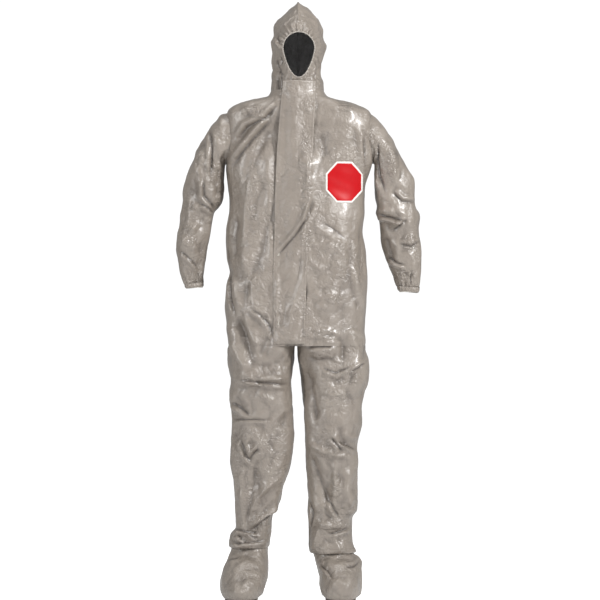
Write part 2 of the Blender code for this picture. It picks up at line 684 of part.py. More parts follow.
def build_badge():
    """A white backing and a smaller red face, both curved with the breast."""
    layers = [("badge_backing", WHITE, GAP, 0.0),
              ("badge_face", RED, 2 * GAP + BADGE_THICKNESS, BADGE_BORDER)]
    for name, colour, lift, inset in layers:
        rows = [grow(row, lift) for row in torso_rows()]
        layer = add_object(name, loft(name, rows, BODY_SIDES), colour, 0.4)
        solidify(layer, BADGE_THICKNESS, 1)
        boolean(layer, badge_prism(f"{name}_outline", inset), "INTERSECT")


build_body()
build_hood()
for WORD, SIDE in (("right", -1), ("left", 1)):
    build_sleeve(WORD, SIDE)
    build_leg(WORD, SIDE)
build_zip()
build_storm_flap()
build_badge()
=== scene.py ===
"""A chemical protective suit that stands as if worn: hooded coverall in crumpled laminated film,
with a storm flap over its zip, gathered cuffs, sock boots and a bare eight-sided badge.

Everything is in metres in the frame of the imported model: the front faces -Y and the wearer's left
is +X. Right and left are the wearer's.
"""

import math

import bpy
import numpy as np
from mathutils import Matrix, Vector


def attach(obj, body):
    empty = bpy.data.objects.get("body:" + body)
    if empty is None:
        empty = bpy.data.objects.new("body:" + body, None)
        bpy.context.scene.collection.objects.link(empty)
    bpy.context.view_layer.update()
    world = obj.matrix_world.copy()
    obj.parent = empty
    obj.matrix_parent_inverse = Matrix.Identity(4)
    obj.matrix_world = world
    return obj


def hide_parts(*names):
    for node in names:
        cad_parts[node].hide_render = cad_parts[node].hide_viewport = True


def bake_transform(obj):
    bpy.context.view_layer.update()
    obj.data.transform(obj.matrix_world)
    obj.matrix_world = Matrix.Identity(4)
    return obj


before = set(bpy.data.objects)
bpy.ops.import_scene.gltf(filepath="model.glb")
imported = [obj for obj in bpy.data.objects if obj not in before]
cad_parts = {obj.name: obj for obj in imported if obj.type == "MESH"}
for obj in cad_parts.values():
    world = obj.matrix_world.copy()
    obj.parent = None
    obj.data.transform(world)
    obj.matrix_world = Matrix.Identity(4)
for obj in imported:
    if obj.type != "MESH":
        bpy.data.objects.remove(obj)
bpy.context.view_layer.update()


# ---- Body panels ----------------------------------------------------------------------------------
# Two front panels meet under the storm flap and join one back panel at the side and shoulder seams.
# Round armholes are left open, and the front is straight along the placket so that the zip runs.

HIP_Z, NECK_Z = 0.800, 1.590
PLACKET_X = -0.018
ARMHOLE_Z, ARMHOLE_Y, ARMHOLE_RADIUS = 1.450, 0.036, 0.0745
CLOTH_STEP = 0.0036


def placket_y(z):
    """The straight front line, from the groin crease to the neck."""
    return -0.105 + 0.027 * (z - HIP_Z) / (NECK_Z - HIP_Z)


def level(z, right, left, front, back, power):
    """A station that lies level."""
    return (right, z, left, z, front, back, power)


BODY_STATIONS = [level(z, right, left, placket_y(z) + 0.0004, back, power)
                 for z, right, left, back, power in (
    (0.797, -0.2205, 0.2065, 0.146, 3.0), (0.812, -0.2215, 0.2060, 0.150, 3.0),
    (0.844, -0.2275, 0.2035, 0.157, 2.9), (0.875, -0.2320, 0.2045, 0.163, 2.8),
    (0.923, -0.2390, 0.2090, 0.168, 2.8), (0.954, -0.2370, 0.2110, 0.168, 2.8),
    (0.983, -0.2320, 0.2135, 0.165, 2.8), (1.028, -0.2205, 0.2120, 0.158, 2.8),
    (1.070, -0.2290, 0.2080, 0.153, 2.8), (1.103, -0.2305, 0.2070, 0.150, 2.8),
    (1.158, -0.2310, 0.1990, 0.149, 2.8), (1.216, -0.2225, 0.2040, 0.150, 2.8),
    (1.253, -0.2210, 0.2030, 0.151, 2.8), (1.300, -0.2240, 0.2050, 0.153, 2.8),
    (1.345, -0.2300, 0.2200, 0.155, 3.0), (1.390, -0.2335, 0.2320, 0.156, 3.2),
    (1.450, -0.2350, 0.2350, 0.155, 3.4), (1.505, -0.2340, 0.2320, 0.150, 3.2),
    (1.530, -0.2290, 0.2220, 0.145, 3.0), (1.547, -0.2060, 0.1900, 0.140, 2.8),
    (1.558, -0.1780, 0.1660, 0.134, 2.8), (1.568, -0.1480, 0.1380, 0.127, 2.7),
    (1.577, -0.1190, 0.1080, 0.121, 2.6), (1.586, -0.0985, 0.0840, 0.117, 2.6),
    (1.600, -0.0915, 0.0745, 0.115, 2.6))]

# Folds on the front of the body: chest diagonals, drape beside the flap, the waist and the hem.
BODY_FOLDS = [
    ("crease", 0.0070, 0.015, [(-0.070, 1.552), (-0.112, 1.508), (-0.168, 1.482), (-0.203, 1.444)]),
    ("crease", 0.0075, 0.016, [(-0.088, 1.510), (-0.154, 1.440), (-0.214, 1.358)]),
    ("ridge", -0.0075, 0.016, [(-0.096, 1.480), (-0.122, 1.420), (-0.150, 1.340)]),
    ("ridge", 0.0065, 0.012, [(-0.104, 1.522), (-0.150, 1.462), (-0.200, 1.402)]),
    ("ridge", 0.0045, 0.013, [(-0.080, 1.560), (-0.130, 1.520), (-0.205, 1.480)]),
    ("crease", 0.0040, 0.012, [(-0.232, 1.535), (-0.224, 1.492), (-0.236, 1.452), (-0.226, 1.380)]),
    ("ridge", 0.0040, 0.012, [(-0.100, 1.440), (-0.098, 1.250), (-0.094, 1.060)]),
    ("ridge", 0.0060, 0.020, [(-0.176, 1.110), (-0.150, 0.980), (-0.130, 0.860)]),
    ("pinch", 0.0030, 0.010, [(-0.228, 1.110), (-0.222, 1.060), (-0.214, 1.020)]),
    ("ridge", 0.0060, 0.016, [(0.030, 1.500), (0.020, 1.400), (0.028, 1.260), (0.010, 1.130)]),
    ("crease", 0.0058, 0.013, [(0.043, 1.262), (0.018, 1.190), (-0.016, 1.140), (-0.078, 1.070)]),
    ("ridge", 0.0040, 0.011, [(0.060, 1.130), (0.110, 1.105), (0.150, 1.058)]),
    ("pinch", 0.0030, 0.010, [(0.070, 1.185), (0.110, 1.158), (0.138, 1.130)]),
    ("ridge", 0.0050, 0.014, [(0.040, 0.968), (0.072, 0.945), (0.110, 0.952)]),
    ("ridge", 0.0045, 0.011, [(0.048, 0.930), (0.080, 0.912), (0.118, 0.930)]),
    ("ridge", -0.0060, 0.018, [(0.062, 1.470), (0.080, 1.400), (0.074, 1.330)]),
    ("ridge", 0.0040, 0.012, [(0.070, 1.545), (0.120, 1.545), (0.170, 1.528)]),
    ("crease", 0.0055, 0.013, [(0.190, 1.480), (0.216, 1.445), (0.234, 1.410), (0.236, 1.355)]),
    ("crease", 0.0060, 0.014, [(0.196, 1.470), (0.204, 1.375), (0.207, 1.290)]),
    ("ridge", -0.0050, 0.016, [(0.190, 1.170), (0.196, 1.080), (0.188, 0.990)]),
    ("ridge", 0.0050, 0.018, [(0.165, 1.060), (0.172, 0.960), (0.160, 0.880)]),
    ("ridge", -0.0085, 0.019, [(-0.082, 1.255), (-0.101, 1.166), (-0.118, 1.091), (-0.156, 0.999),
                               (-0.178, 0.910)]),
    ("ridge", 0.0085, 0.014, [(-0.166, 1.269), (-0.171, 1.183), (-0.175, 1.105)]),
    ("ridge", -0.0075, 0.015, [(-0.204, 1.207), (-0.207, 1.132), (-0.200, 1.057)]),
    ("crease", 0.0045, 0.012, [(-0.217, 1.033), (-0.214, 0.951), (-0.204, 0.917), (-0.195, 0.890)]),
    ("ridge", 0.0050, 0.010, [(-0.205, 1.016), (-0.199, 0.961), (-0.181, 0.907)]),
    ("crease", 0.0050, 0.012, [(-0.152, 0.914), (-0.125, 0.897), (-0.098, 0.866), (-0.088, 0.835)]),
    ("ridge", -0.0080, 0.015, [(-0.199, 0.890), (-0.176, 0.839), (-0.154, 0.757)]),
    ("ridge", 0.0070, 0.012, [(-0.169, 0.900), (-0.156, 0.842), (-0.137, 0.791)]),
    ("ridge", -0.0062, 0.009, [(0.006, 1.108), (-0.004, 1.026), (-0.024, 0.975), (-0.050, 0.931),
                               (-0.061, 0.845)]),
    ("ridge", 0.0048, 0.009, [(0.022, 1.078), (0.012, 1.009), (-0.009, 0.961), (-0.029, 0.907),
                              (-0.033, 0.842)]),
    ("ridge", 0.0046, 0.011, [(-0.070, 1.030), (-0.074, 0.961), (-0.076, 0.842)]),
    ("pinch", 0.0028, 0.008, [(0.018, 1.009), (0.020, 0.961), (0.013, 0.910), (0.008, 0.859),
                              (0.012, 0.804)]),
    ("ridge", 0.0046, 0.008, [(0.029, 1.183), (0.073, 1.156), (0.124, 1.119)]),
    ("ridge", 0.0036, 0.008, [(0.032, 1.122), (0.066, 1.108), (0.100, 1.088)]),
    ("ridge", 0.0036, 0.009, [(0.022, 1.071), (0.046, 1.050), (0.070, 1.023)]),
    ("ridge", 0.0050, 0.012, [(0.169, 1.050), (0.179, 0.979), (0.204, 0.907)]),
    ("ridge", -0.0050, 0.012, [(0.152, 1.047), (0.162, 0.975), (0.182, 0.907)]),
    ("ridge", 0.0046, 0.008, [(0.018, 0.813), (0.064, 0.845), (0.100, 0.838), (0.136, 0.828)]),
    ("ridge", 0.0046, 0.008, [(0.134, 0.828), (0.162, 0.846), (0.199, 0.825), (0.210, 0.791)]),
    ("ridge", 0.0040, 0.006, [(0.070, 0.821), (0.104, 0.823), (0.140, 0.821)]),
    ("ridge", 0.0040, 0.006, [(0.073, 0.807), (0.104, 0.809), (0.134, 0.807)]),
    ("ridge", -0.0045, 0.008, [(0.073, 0.830), (0.100, 0.830), (0.134, 0.816)]),
]

# Folds that run on across the joint of body and legs.
HEM_FOLDS = [
    ("ridge", -0.0080, 0.014, [(-0.196, 0.890), (-0.172, 0.840), (-0.153, 0.756), (-0.140, 0.720)]),
    ("ridge", 0.0065, 0.012, [(-0.222, 0.880), (-0.206, 0.820), (-0.190, 0.760), (-0.160, 0.715)]),
    ("ridge", 0.0060, 0.010, [(-0.142, 0.860), (-0.136, 0.800), (-0.130, 0.748)]),
    ("ridge", -0.0050, 0.010, [(-0.100, 0.830), (-0.118, 0.790), (-0.140, 0.760)]),
    ("ridge", 0.0055, 0.012, [(0.150, 0.850), (0.176, 0.800), (0.190, 0.745)]),
    ("ridge", -0.0055, 0.012, [(0.120, 0.836), (0.140, 0.790), (0.134, 0.750)]),
]
BADGE_X, BADGE_Z = 0.139, 1.310
BADGE_HALF_WIDTH, BADGE_HALF_HEIGHT = 0.0585, 0.0640
SEAM_GAP = 0.001

# The cloth is non-woven, laminated with a plastic film. Its creases are sharp and stay in, so the
# satin film catches light in small broken glints.
FILM_LIGHT = (0.300, 0.260, 0.222, 1.0)
FILM_DARK = (0.236, 0.202, 0.171, 1.0)
# Dark colour for the painted shade in folds, hollows and pleat valleys, also used for seam lines.
FILM_SHADE_AND_SEAM = (0.070, 0.056, 0.046, 1.0)
FILM_INSIDE = (0.430, 0.425, 0.425, 1.0)
FILM_BUMP, FILM_GLOSS = 0.0105, 0.30


def add_node(tree, kind, inputs=(), **settings):
    """A node with its settings; each input is set to a constant or linked to a socket."""
    node = tree.nodes.new(kind)
    for key, value in settings.items():
        setattr(node, key, value)
    for key, value in dict(inputs).items():
        if isinstance(value, bpy.types.NodeSocket):
            tree.links.new(value, node.inputs[key])
        else:
            node.inputs[key].default_value = value
    return node


def math_node(tree, operation, first, second):
    return add_node(tree, "ShaderNodeMath", {0: first, 1: second}, operation=operation).outputs[0]


def mixed(tree, share, first, second):
    """The colour that lies at the share between first and second."""
    return add_node(tree, "ShaderNodeMix", {"Factor": share, "A": first, "B": second},
                    data_type="RGBA").outputs["Result"]


def ranged(tree, value, low, high, to_low=0.0, to_high=1.0):
    """Value brought from low..high to to_low..to_high."""
    return add_node(tree, "ShaderNodeMapRange", {
        "Value": value, "From Min": low, "From Max": high,
        "To Min": to_low, "To Max": to_high}).outputs["Result"]


def new_material(name):
    """A material, its node tree and its shader's inputs."""
    made = bpy.data.materials.new(name)
    made.use_nodes = True
    return made, made.node_tree, made.node_tree.nodes["Principled BSDF"].inputs


def set_surface(tree, shader, colour, height, distance):
    """Colour and bump of a shader, from sockets."""
    relief = add_node(tree, "ShaderNodeBump", {"Distance": distance, "Height": height})
    tree.links.new(colour, shader["Base Color"])
    tree.links.new(relief.outputs["Normal"], shader["Normal"])


def crumple_group():
    """Film crumple: broken cells at two sizes and long creases, stronger in patches.

    Height = patch * (edges of the cells + creases) + a little grain. A crease runs where a noise
    crosses its middle: |noise - 0.5|. Patch is the larger of Worked and a slow noise, and Tone is
    a cloudy change. A first noise bends the place at which the cells and creases are read.
    """
    group = bpy.data.node_groups.new("film crumple", "ShaderNodeTree")
    group.interface.new_socket("Place", in_out="INPUT", socket_type="NodeSocketVector")
    for name in ("Seed", "Worked"):
        group.interface.new_socket(name, in_out="INPUT", socket_type="NodeSocketFloat")
    for name in ("Height", "Patch", "Tone"):
        group.interface.new_socket(name, in_out="OUTPUT", socket_type="NodeSocketFloat")
    start = add_node(group, "NodeGroupInput").outputs
    place, seed = start["Place"], start["Seed"]

    def seeded(kind, where, inputs, **settings):
        return add_node(group, kind, {"Vector": where, "W": seed, **inputs}, **settings).outputs

    def noise(where, scale, detail, roughness=0.5):
        inputs = {"Scale": scale, "Detail": detail, "Roughness": roughness}
        return seeded("ShaderNodeTexNoise", where, inputs, noise_dimensions="4D")

    warp = noise(place, 18.0, 3.0)["Color"]
    bent = add_node(group, "ShaderNodeVectorMath", {0: warp, 1: (0.045, 0.045, 0.045), 2: place},
                    operation="MULTIPLY_ADD").outputs["Vector"]
    shares = []
    for scale, detail, share in ((15.0, 1.5, 2.6), (38.0, 2.5, 1.5)):
        middle = math_node(group, "SUBTRACT", noise(bent, scale, detail, 0.45)["Fac"], 0.5)
        shares.append((math_node(group, "ABSOLUTE", middle, 0.0), share))
    for scale, share in ((58.0, 0.50), (150.0, 0.26)):
        edge = seeded("ShaderNodeTexVoronoi", bent, {"Scale": scale}, feature="DISTANCE_TO_EDGE",
                      voronoi_dimensions="4D")["Distance"]
        shares.append((math_node(group, "MINIMUM", edge, 0.35), share))
    slow = ranged(group, noise(place, 7.5, 2.0)["Fac"], 0.40, 0.66, 0.30, 0.90)
    patch = math_node(group, "MAXIMUM", slow, start["Worked"])
    grain = add_node(group, "ShaderNodeTexNoise", {"Scale": 900.0, "Detail": 2.0, "Vector": place})

    height = math_node(group, "MULTIPLY", *shares[0])
    for part, share in shares[1:]:
        height = math_node(group, "ADD", height, math_node(group, "MULTIPLY", part, share))
    height = math_node(group, "MULTIPLY", height, patch)
    height = math_node(group, "ADD", height,
                       math_node(group, "MULTIPLY", grain.outputs["Fac"], 0.030))
    add_node(group, "NodeGroupOutput", {"Height": height, "Patch": patch,
                                        "Tone": noise(bent, 11.0, 5.0, 0.62)["Fac"]})
    return group


CRUMPLE = crumple_group()


def film_material(name, seed, bump=FILM_BUMP):
    """Warm grey film: cloudy tone, painted shade in the folds and hollows and darker seam lines,
    satin where it is worked, grey inside.
    """
    made, tree, shader = new_material(name)
    place, fold, worked = (add_node(tree, "ShaderNodeAttribute", attribute_name=label).outputs
                           for label in ("cloth_place", "painted_shade_and_seams", "worked"))
    crumple = add_node(tree, "ShaderNodeGroup", node_tree=CRUMPLE)
    crumple.inputs["Seed"].default_value = seed
    tree.links.new(place["Vector"], crumple.inputs["Place"])
    tree.links.new(worked["Fac"], crumple.inputs["Worked"])
    side = add_node(tree, "ShaderNodeNewGeometry").outputs["Backfacing"]

    cloud = ranged(tree, crumple.outputs["Tone"], 0.28, 0.70)
    # Painted shade: the stored shade of folds, hollows and pleat valleys, with the darker seam lines,
    # takes the colour towards the dark shade colour.
    tone = mixed(tree, fold["Fac"], mixed(tree, cloud, FILM_DARK, FILM_LIGHT), FILM_SHADE_AND_SEAM)
    set_surface(tree, shader, mixed(tree, side, tone, FILM_INSIDE), crumple.outputs["Height"], bump)
    rough = ranged(tree, crumple.outputs["Patch"], 0.0, 1.0, FILM_GLOSS + 0.16, FILM_GLOSS)
    tree.links.new(rough, shader["Roughness"])
    for key, value in (("Specular IOR Level", 0.74), ("Coat Roughness", 0.22),
                       ("Coat Weight", 0.36)):
        shader[key].default_value = value
    return made


# Each cloth tube is cut by given cross-sections. A station is (x and z of the right end, x and
# z of the left end, front y, back y, squareness), and one smooth surface runs through them.


def soft_step(value, low, high):
    """0 below low, 1 above high, and 3t^2 - 2t^3 between."""
    t = np.clip((value - low) / (high - low), 0, 1)
    return t * t * (3 - 2 * t)


def through(stations, step):
    """Rows about step apart: a cubic curve through the stations, column by column."""
    table = np.array(stations, float)
    moves = np.linalg.norm(np.diff(table[:, :4], axis=0), axis=1) / math.sqrt(2)
    walk = np.concatenate([[0.0], np.cumsum(moves)])
    s = np.linspace(0.0, walk[-1], int(round(walk[-1] / step)) + 1)
    slope = np.gradient(table, walk, axis=0)
    i = np.clip(np.searchsorted(walk, s, side="right") - 1, 0, len(walk) - 2)
    gap = (walk[i + 1] - walk[i])[:, None]
    t = (s - walk[i])[:, None] / gap
    return (table[i] * (2 * t**3 - 3 * t**2 + 1) + slope[i] * gap * (t**3 - 2 * t**2 + t)
            + table[i + 1] * (3 * t**2 - 2 * t**3) + slope[i + 1] * gap * (t**3 - t**2))


def skin(rows, angle):
    """Points (row, column, xyz) of each row at the angles given.

    On a row's own scale the radius at angle a is (|cos a|^p + |sin a|^p)^(-1/p), which is a circle
    for p = 2 and squarer above it. Angle 0 is the left, a quarter turn is the back.
    """
    ax, az, bx, bz, front, back, power = (rows[:, i][:, None] for i in range(7))
    radius = (np.abs(np.cos(angle)) ** power + np.abs(np.sin(angle)) ** power) ** (-1 / power)
    across, deep = radius * np.cos(angle), radius * np.sin(angle)
    x = (ax + bx) / 2 + (bx - ax) / 2 * across
    z = (az + bz) / 2 + (bz - az) / 2 * across
    y = (front + back) / 2 + (back - front) / 2 * deep
    return np.stack([x, y, z], axis=-1)


def outward(points):
    """Unit normals of a grid of points, from the cross product of its two directions."""
    across = np.gradient(points, axis=1)
    if np.allclose(points[:, 0], points[:, -1], atol=1e-6):
        wrap = (points[:, 1] - points[:, -2]) / 2
        across[:, 0] = across[:, -1] = wrap
    up = np.gradient(points, axis=0)
    normal = np.cross(across, up)
    return normal / np.maximum(np.linalg.norm(normal, axis=-1, keepdims=True), 1e-12)


def along_line(x, z, line):
    """For each (x, z): signed distance to a broken line, and the share of its length there."""
    line = np.array(line, float)
    parts = np.linalg.norm(np.diff(line, axis=0), axis=1)
    before = np.concatenate([[0.0], np.cumsum(parts)])
    best = np.full(x.shape, np.inf)
    share = np.zeros(x.shape)
    for (x0, z0), (x1, z1), part, run in zip(line, line[1:], parts, before):
        ux, uz = (x1 - x0) / part, (z1 - z0) / part
        on = np.clip((x - x0) * ux + (z - z0) * uz, 0, part)
        off_x, off_z = x - x0 - on * ux, z - z0 - on * uz
        away = np.hypot(off_x, off_z)
        near = away < np.abs(best)
        side = np.where(off_x * uz - off_z * ux >= 0, 1.0, -1.0)
        best = np.where(near, away * side, best)
        share = np.where(near, (run + on) / before[-1], share)
    return best, share


FOLD_GAIN = 1.35


def placed_folds(points, normal, folds):
    """Height and shade of folds laid on the front. A fold is (kind, depth, width, line), and its
    line is a list of (x, z).

    ridge: depth * exp(-(|d|/width)^1.45), and a negative depth is a valley. crease: a sharp valley,
    -depth * exp(-|d|/(width/4)), beside a rounded lip, with painted shade along the valley. pinch: the
    same, without its lip. Each fades at the ends of its line and where the cloth turns away, and
    every depth is taken FOLD_GAIN times.
    """
    height, shade = np.zeros(points.shape[:2]), np.zeros(points.shape[:2])
    x, z = points[..., 0], points[..., 2]
    facing = np.clip(-normal[..., 1] * 2.2, 0, 1)
    for kind, depth, width, line in folds:
        low, high = np.min(line, axis=0) - 4.5 * width, np.max(line, axis=0) + 4.5 * width
        near = (x > low[0]) & (x < high[0]) & (z > low[1]) & (z < high[1]) & (facing > 0)
        away, share = along_line(x[near], z[near], line)
        fade = np.clip(np.sin(math.pi * np.clip(share, 0.02, 0.98)) * 1.9, 0, 1) * facing[near]
        fade = fade * (np.abs(away) < 4.5 * width)
        if kind == "ridge":
            height[near] += depth * np.exp(-(np.abs(away) / width) ** 1.45) * fade
            continue
        valley = np.exp(-np.abs(away) / (0.26 * width))
        lip = np.exp(-((away - 0.75 * width) / (0.55 * width)) ** 2) if kind == "crease" else 0.0
        height[near] += depth * (1.1 * lip - valley) * fade
        # Painted shade along the valley of a crease or pinch.
        dark = np.exp(-(away / (0.17 * width + 0.0007)) ** 2) * fade
        shade[near] = np.maximum(shade[near], dark)
    return FOLD_GAIN * height, shade


def film_cells(points, seed, spacing, depth, along=(0.0, 0.0, 1.0), stretch=1.7):
    """Seeded cells of crumpled film, spread over the points about spacing apart, as (centre,
    direction, tilt, lift, radius, stretch, middle, scale). Directions lie near along. scale brings
    the spread of the height to half the depth, and is negative where the depth is."""
    rng = np.random.default_rng(seed)
    sides = np.diff(points, axis=1)[:-1], np.diff(points, axis=0)[:, :-1]
    area = np.linalg.norm(np.cross(*sides), axis=-1).sum()
    count = max(12, int(area / spacing**2))
    flat = points.reshape(-1, 3)
    centre = flat[rng.integers(0, len(flat), count)]
    way = np.array(along) + 0.40 * rng.normal(size=(count, 3))
    way /= np.linalg.norm(way, axis=1, keepdims=True)
    tilt = rng.normal(size=(count, 3)) * 1.3 / spacing
    lift = rng.normal(size=count) * 0.3
    cells = centre, way, tilt, lift, spacing**2 / 5, stretch, 0.0, 1.0
    sample = crumple_height(points[::3, ::3], cells)
    return *cells[:6], sample.mean(), 0.5 * depth / sample.std()


def crumple_height(points, cells):
    """Height of the cells at the points: at each, the greatest of lift + tilt . offset - d^2 / 2r,
    where d is the distance to a cell's centre, shortened by stretch along its direction. Cells are
    nearly flat and meet in sharp creases, which are valleys, or ridges where scale is negative."""
    centre, way, tilt, lift, radius, stretch, middle, scale = cells
    flat = points.reshape(-1, 3)
    best = np.full(len(flat), -3.0)
    for part in np.array_split(np.arange(len(centre)), max(1, len(centre) // 40)):
        offset = flat[:, None] - centre[part][None]
        run = np.einsum("ijk,jk->ij", offset, way[part])
        square = (offset**2).sum(axis=-1) - (1 - 1 / stretch**2) * run**2
        rise = lift[part] + np.einsum("ijk,jk->ij", offset, tilt[part]) - square / (2 * radius)
        best = np.maximum(best, rise.max(axis=1))
    return scale * (best.reshape(points.shape[:2]) - middle)


def blurred(values, reach):
    """Mean over a square of 2 * reach + 1 cells, by sums along the rows and then the columns."""
    for axis in (0, 1):
        pad = [(0, 0), (0, 0)]
        pad[axis] = (reach + 1, reach)
        total = np.cumsum(np.pad(values, pad, mode="edge"), axis=axis)
        size = values.shape[axis]
        high = np.take(total, np.arange(2 * reach + 1, 2 * reach + 1 + size), axis=axis)
        values = (high - np.take(total, np.arange(size), axis=axis)) / (2 * reach + 1)
    return values


def spots(points, places):
    """1 at the middle of each place (x, z, radius across, radius up) on the front, less outside."""
    mask = np.zeros(points.shape[:2])
    for x, z, wide, tall in places:
        reach = np.hypot((points[..., 0] - x) / wide, (points[..., 2] - z) / tall)
        mask = np.maximum(mask, 1 - soft_step(reach, 0.55, 1.25))
    return mask * (points[..., 1] < 0.03)


def mesh_object(name, points, faces, material):
    mesh = bpy.data.meshes.new(name)
    mesh.from_pydata(points, [], faces)
    mesh.shade_smooth()
    mesh.materials.append(material)
    obj = bpy.data.objects.new(name, mesh)
    bpy.context.scene.collection.objects.link(obj)
    return obj


def grid_object(name, points, place, painted_shade_and_seams, worked, closed, material, keep=None):
    """A mesh of one quad for each cell of the grid. closed joins the last column to the first,
    and keep leaves out the cells where it is False."""
    rows, columns = points.shape[:2]
    number = np.arange(rows * columns).reshape(rows, columns)
    if closed:
        number[:, -1] = number[:, 0]
    quads = np.stack([number[:-1, :-1], number[:-1, 1:], number[1:, 1:], number[1:, :-1]], axis=-1)
    quads = quads.reshape(-1, 4) if keep is None else quads[keep]
    used, quads = np.unique(quads, return_inverse=True)
    obj = mesh_object(name, points.reshape(-1, 3)[used], quads.reshape(-1, 4), material)
    place = np.ascontiguousarray(place.reshape(-1, 3)[used], np.float32)
    layer = obj.data.attributes.new("cloth_place", "FLOAT_VECTOR", "POINT")
    layer.data.foreach_set("vector", place.ravel())
    # Per point: the painted shade of folds and hollows with the darker seam lines, and the worked
    # places.
    for label, values in (("painted_shade_and_seams", painted_shade_and_seams), ("worked", worked)):
        layer = obj.data.attributes.new(label, "FLOAT", "POINT")
        layer.data.foreach_set("value", values.reshape(-1)[used].astype(np.float32))
    return obj


def painted_cavity_shade(height):
    """Painted shade where the cloth lies deeper than the cloth near it, and than the cloth further
    round.
    """
    near = np.clip((blurred(height, 3) - height) / 0.0014 - 0.15, 0, 1)
    far = np.clip((blurred(height, 10) - height) / 0.0042 - 0.10, 0, 1)
    return 0.26 * near + 0.17 * far


def crumpled(base, scales, folds=(), calm=0.0, places=(), joined=(), join=0.0):
    """Base points pushed along their normals by folds and film cells, less where calm, with the
    cells of the joined piece in the share join, and half as far at the sides, where a tube keeps
    its outline. Also painted shade in the folds and hollows, and the places worked into fine
    crinkle."""
    normal = outward(base)
    worked = spots(base, places)
    fixed, shade = placed_folds(base, normal, folds)
    height = sum(crumple_height(base, cells) for cells in scales) * (1 - join)
    height = height + sum(crumple_height(base, cells) for cells in joined) * join
    height = (height * (1 + 0.35 * worked) * (1 - 0.5 * normal[..., 0] ** 2) + fixed) * (1 - calm)
    return base + normal * height[..., None], np.maximum(shade * (1 - calm), painted_cavity_shade(height)), worked


body_rows = through(BODY_STATIONS, CLOTH_STEP)


def body_calm(points):
    """Where crumples are held down: under the zip and the badge, and at neck and armhole seams."""
    x, y, z = points[..., 0], points[..., 1], points[..., 2]
    front = y < ARMHOLE_Y
    zip_zone = (1 - soft_step(np.abs(x - PLACKET_X), 0.018, 0.034)) * front
    reach = ((np.abs(x - BADGE_X) / BADGE_HALF_WIDTH) ** 4
             + (np.abs(z - BADGE_Z) / BADGE_HALF_HEIGHT) ** 4) ** 0.25
    badge = (1 - soft_step(reach, 0.95, 1.7)) * front
    neck = soft_step(z, 1.570, 1.590)
    armhole = np.hypot(y - ARMHOLE_Y, z - ARMHOLE_Z)
    seam = 0.75 * (1 - soft_step(armhole, 0.080, 0.104)) * (np.abs(x) > 0.17)
    return np.clip(np.maximum.reduce([zip_zone, badge, neck, seam]), 0, 1)


def armhole_keep(points):
    """False for the cells inside either armhole."""
    centre = (points[:-1, :-1] + points[1:, 1:]) / 2
    inside = np.hypot(centre[..., 1] - ARMHOLE_Y, centre[..., 2] - ARMHOLE_Z) < ARMHOLE_RADIUS
    return ~(inside & (np.abs(centre[..., 0]) > 0.16))


def placket_angle(rows, x):
    """The angle on each row at which the front passes x."""
    right, left, power = rows[:, 0], rows[:, 2], rows[:, 6]
    across = (x - (right + left) / 2) / ((left - right) / 2)
    deep = (1 - np.abs(across) ** power) ** (1 / power)
    return np.arctan2(-deep, across) + 2 * math.pi


# Places worked into fine crinkle: (x, z, radius across, radius up).
BODY_WORKED = [
    (0.027, 1.552, 0.034, 0.026), (0.016, 1.330, 0.026, 0.170), (0.104, 0.960, 0.036, 0.036),
    (0.055, 0.838, 0.060, 0.022), (0.142, 1.545, 0.030, 0.018), (-0.150, 1.270, 0.022, 0.130),
    (-0.150, 1.000, 0.034, 0.034), (-0.130, 1.530, 0.060, 0.022), (0.020, 1.150, 0.022, 0.080),
    (-0.110, 0.880, 0.022, 0.030), (-0.180, 1.060, 0.020, 0.040), (0.110, 1.110, 0.040, 0.022)]

body_film = film_material("body_film", 1.3)
right_edge, left_edge = (placket_angle(body_rows, PLACKET_X + gap)[:, None]
                         for gap in (-SEAM_GAP, SEAM_GAP))
turns = {"front_left_panel": left_edge + (2 * math.pi - left_edge) * np.linspace(0, 1, 88)[None, :],
         "back_panel": np.broadcast_to(np.linspace(0, math.pi, 160), (len(body_rows), 160)),
         "front_right_panel": math.pi + (right_edge - math.pi) * np.linspace(0, 1, 82)[None, :]}
body_ring = skin(body_rows, np.hstack(list(turns.values())))
body_cells = [film_cells(body_ring, 5, 0.075, 0.0072, (0.35, 0.0, 1.0), 3.0),
              film_cells(body_ring, 6, 0.042, -0.0054, (0.45, 0.0, 1.0), 2.6),
              film_cells(body_ring, 7, 0.021, 0.0025, (0.2, 0.0, 1.0), 2.0)]
body_bent, body_shade, body_worked = crumpled(body_ring, body_cells, BODY_FOLDS + HEM_FOLDS,
                                              body_calm(body_ring), BODY_WORKED)

# The hem turns in by a millimetre, so no edge stands off the legs.
body_hem = 1 - soft_step(body_ring[..., 2], HIP_Z - 0.002, HIP_Z + 0.005)
body_bent -= outward(body_ring) * (0.0010 * body_hem)[..., None]
column = 0
for node, turn in turns.items():
    span = slice(column, column + turn.shape[1])
    column += turn.shape[1]
    base = body_ring[:, span]
    panel = grid_object(f"{node}_cloth", body_bent[:, span], base, body_shade[:, span],
                        body_worked[:, span], False, body_film, armhole_keep(base))
    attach(panel, "suit_body")
    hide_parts(node)


# ---- Hood -----------------------------------------------------------------------------------------
# Two halves sewn along a raised centre seam that ends in a point. An elastic gathers the cloth
# round the face, so short pleats run out from the opening.

FACE_X, FACE_Z, FACE_HALF_WIDTH = -0.0035, 1.7287, 0.0500
FACE_ABOVE, FACE_BELOW = 0.0510, 0.0905
HOOD_SEAM_X, HOOD_SEAM_HEIGHT = -0.006, 0.0030
PLEAT_DEPTH, PLEAT_REACH = 0.0036, 0.017

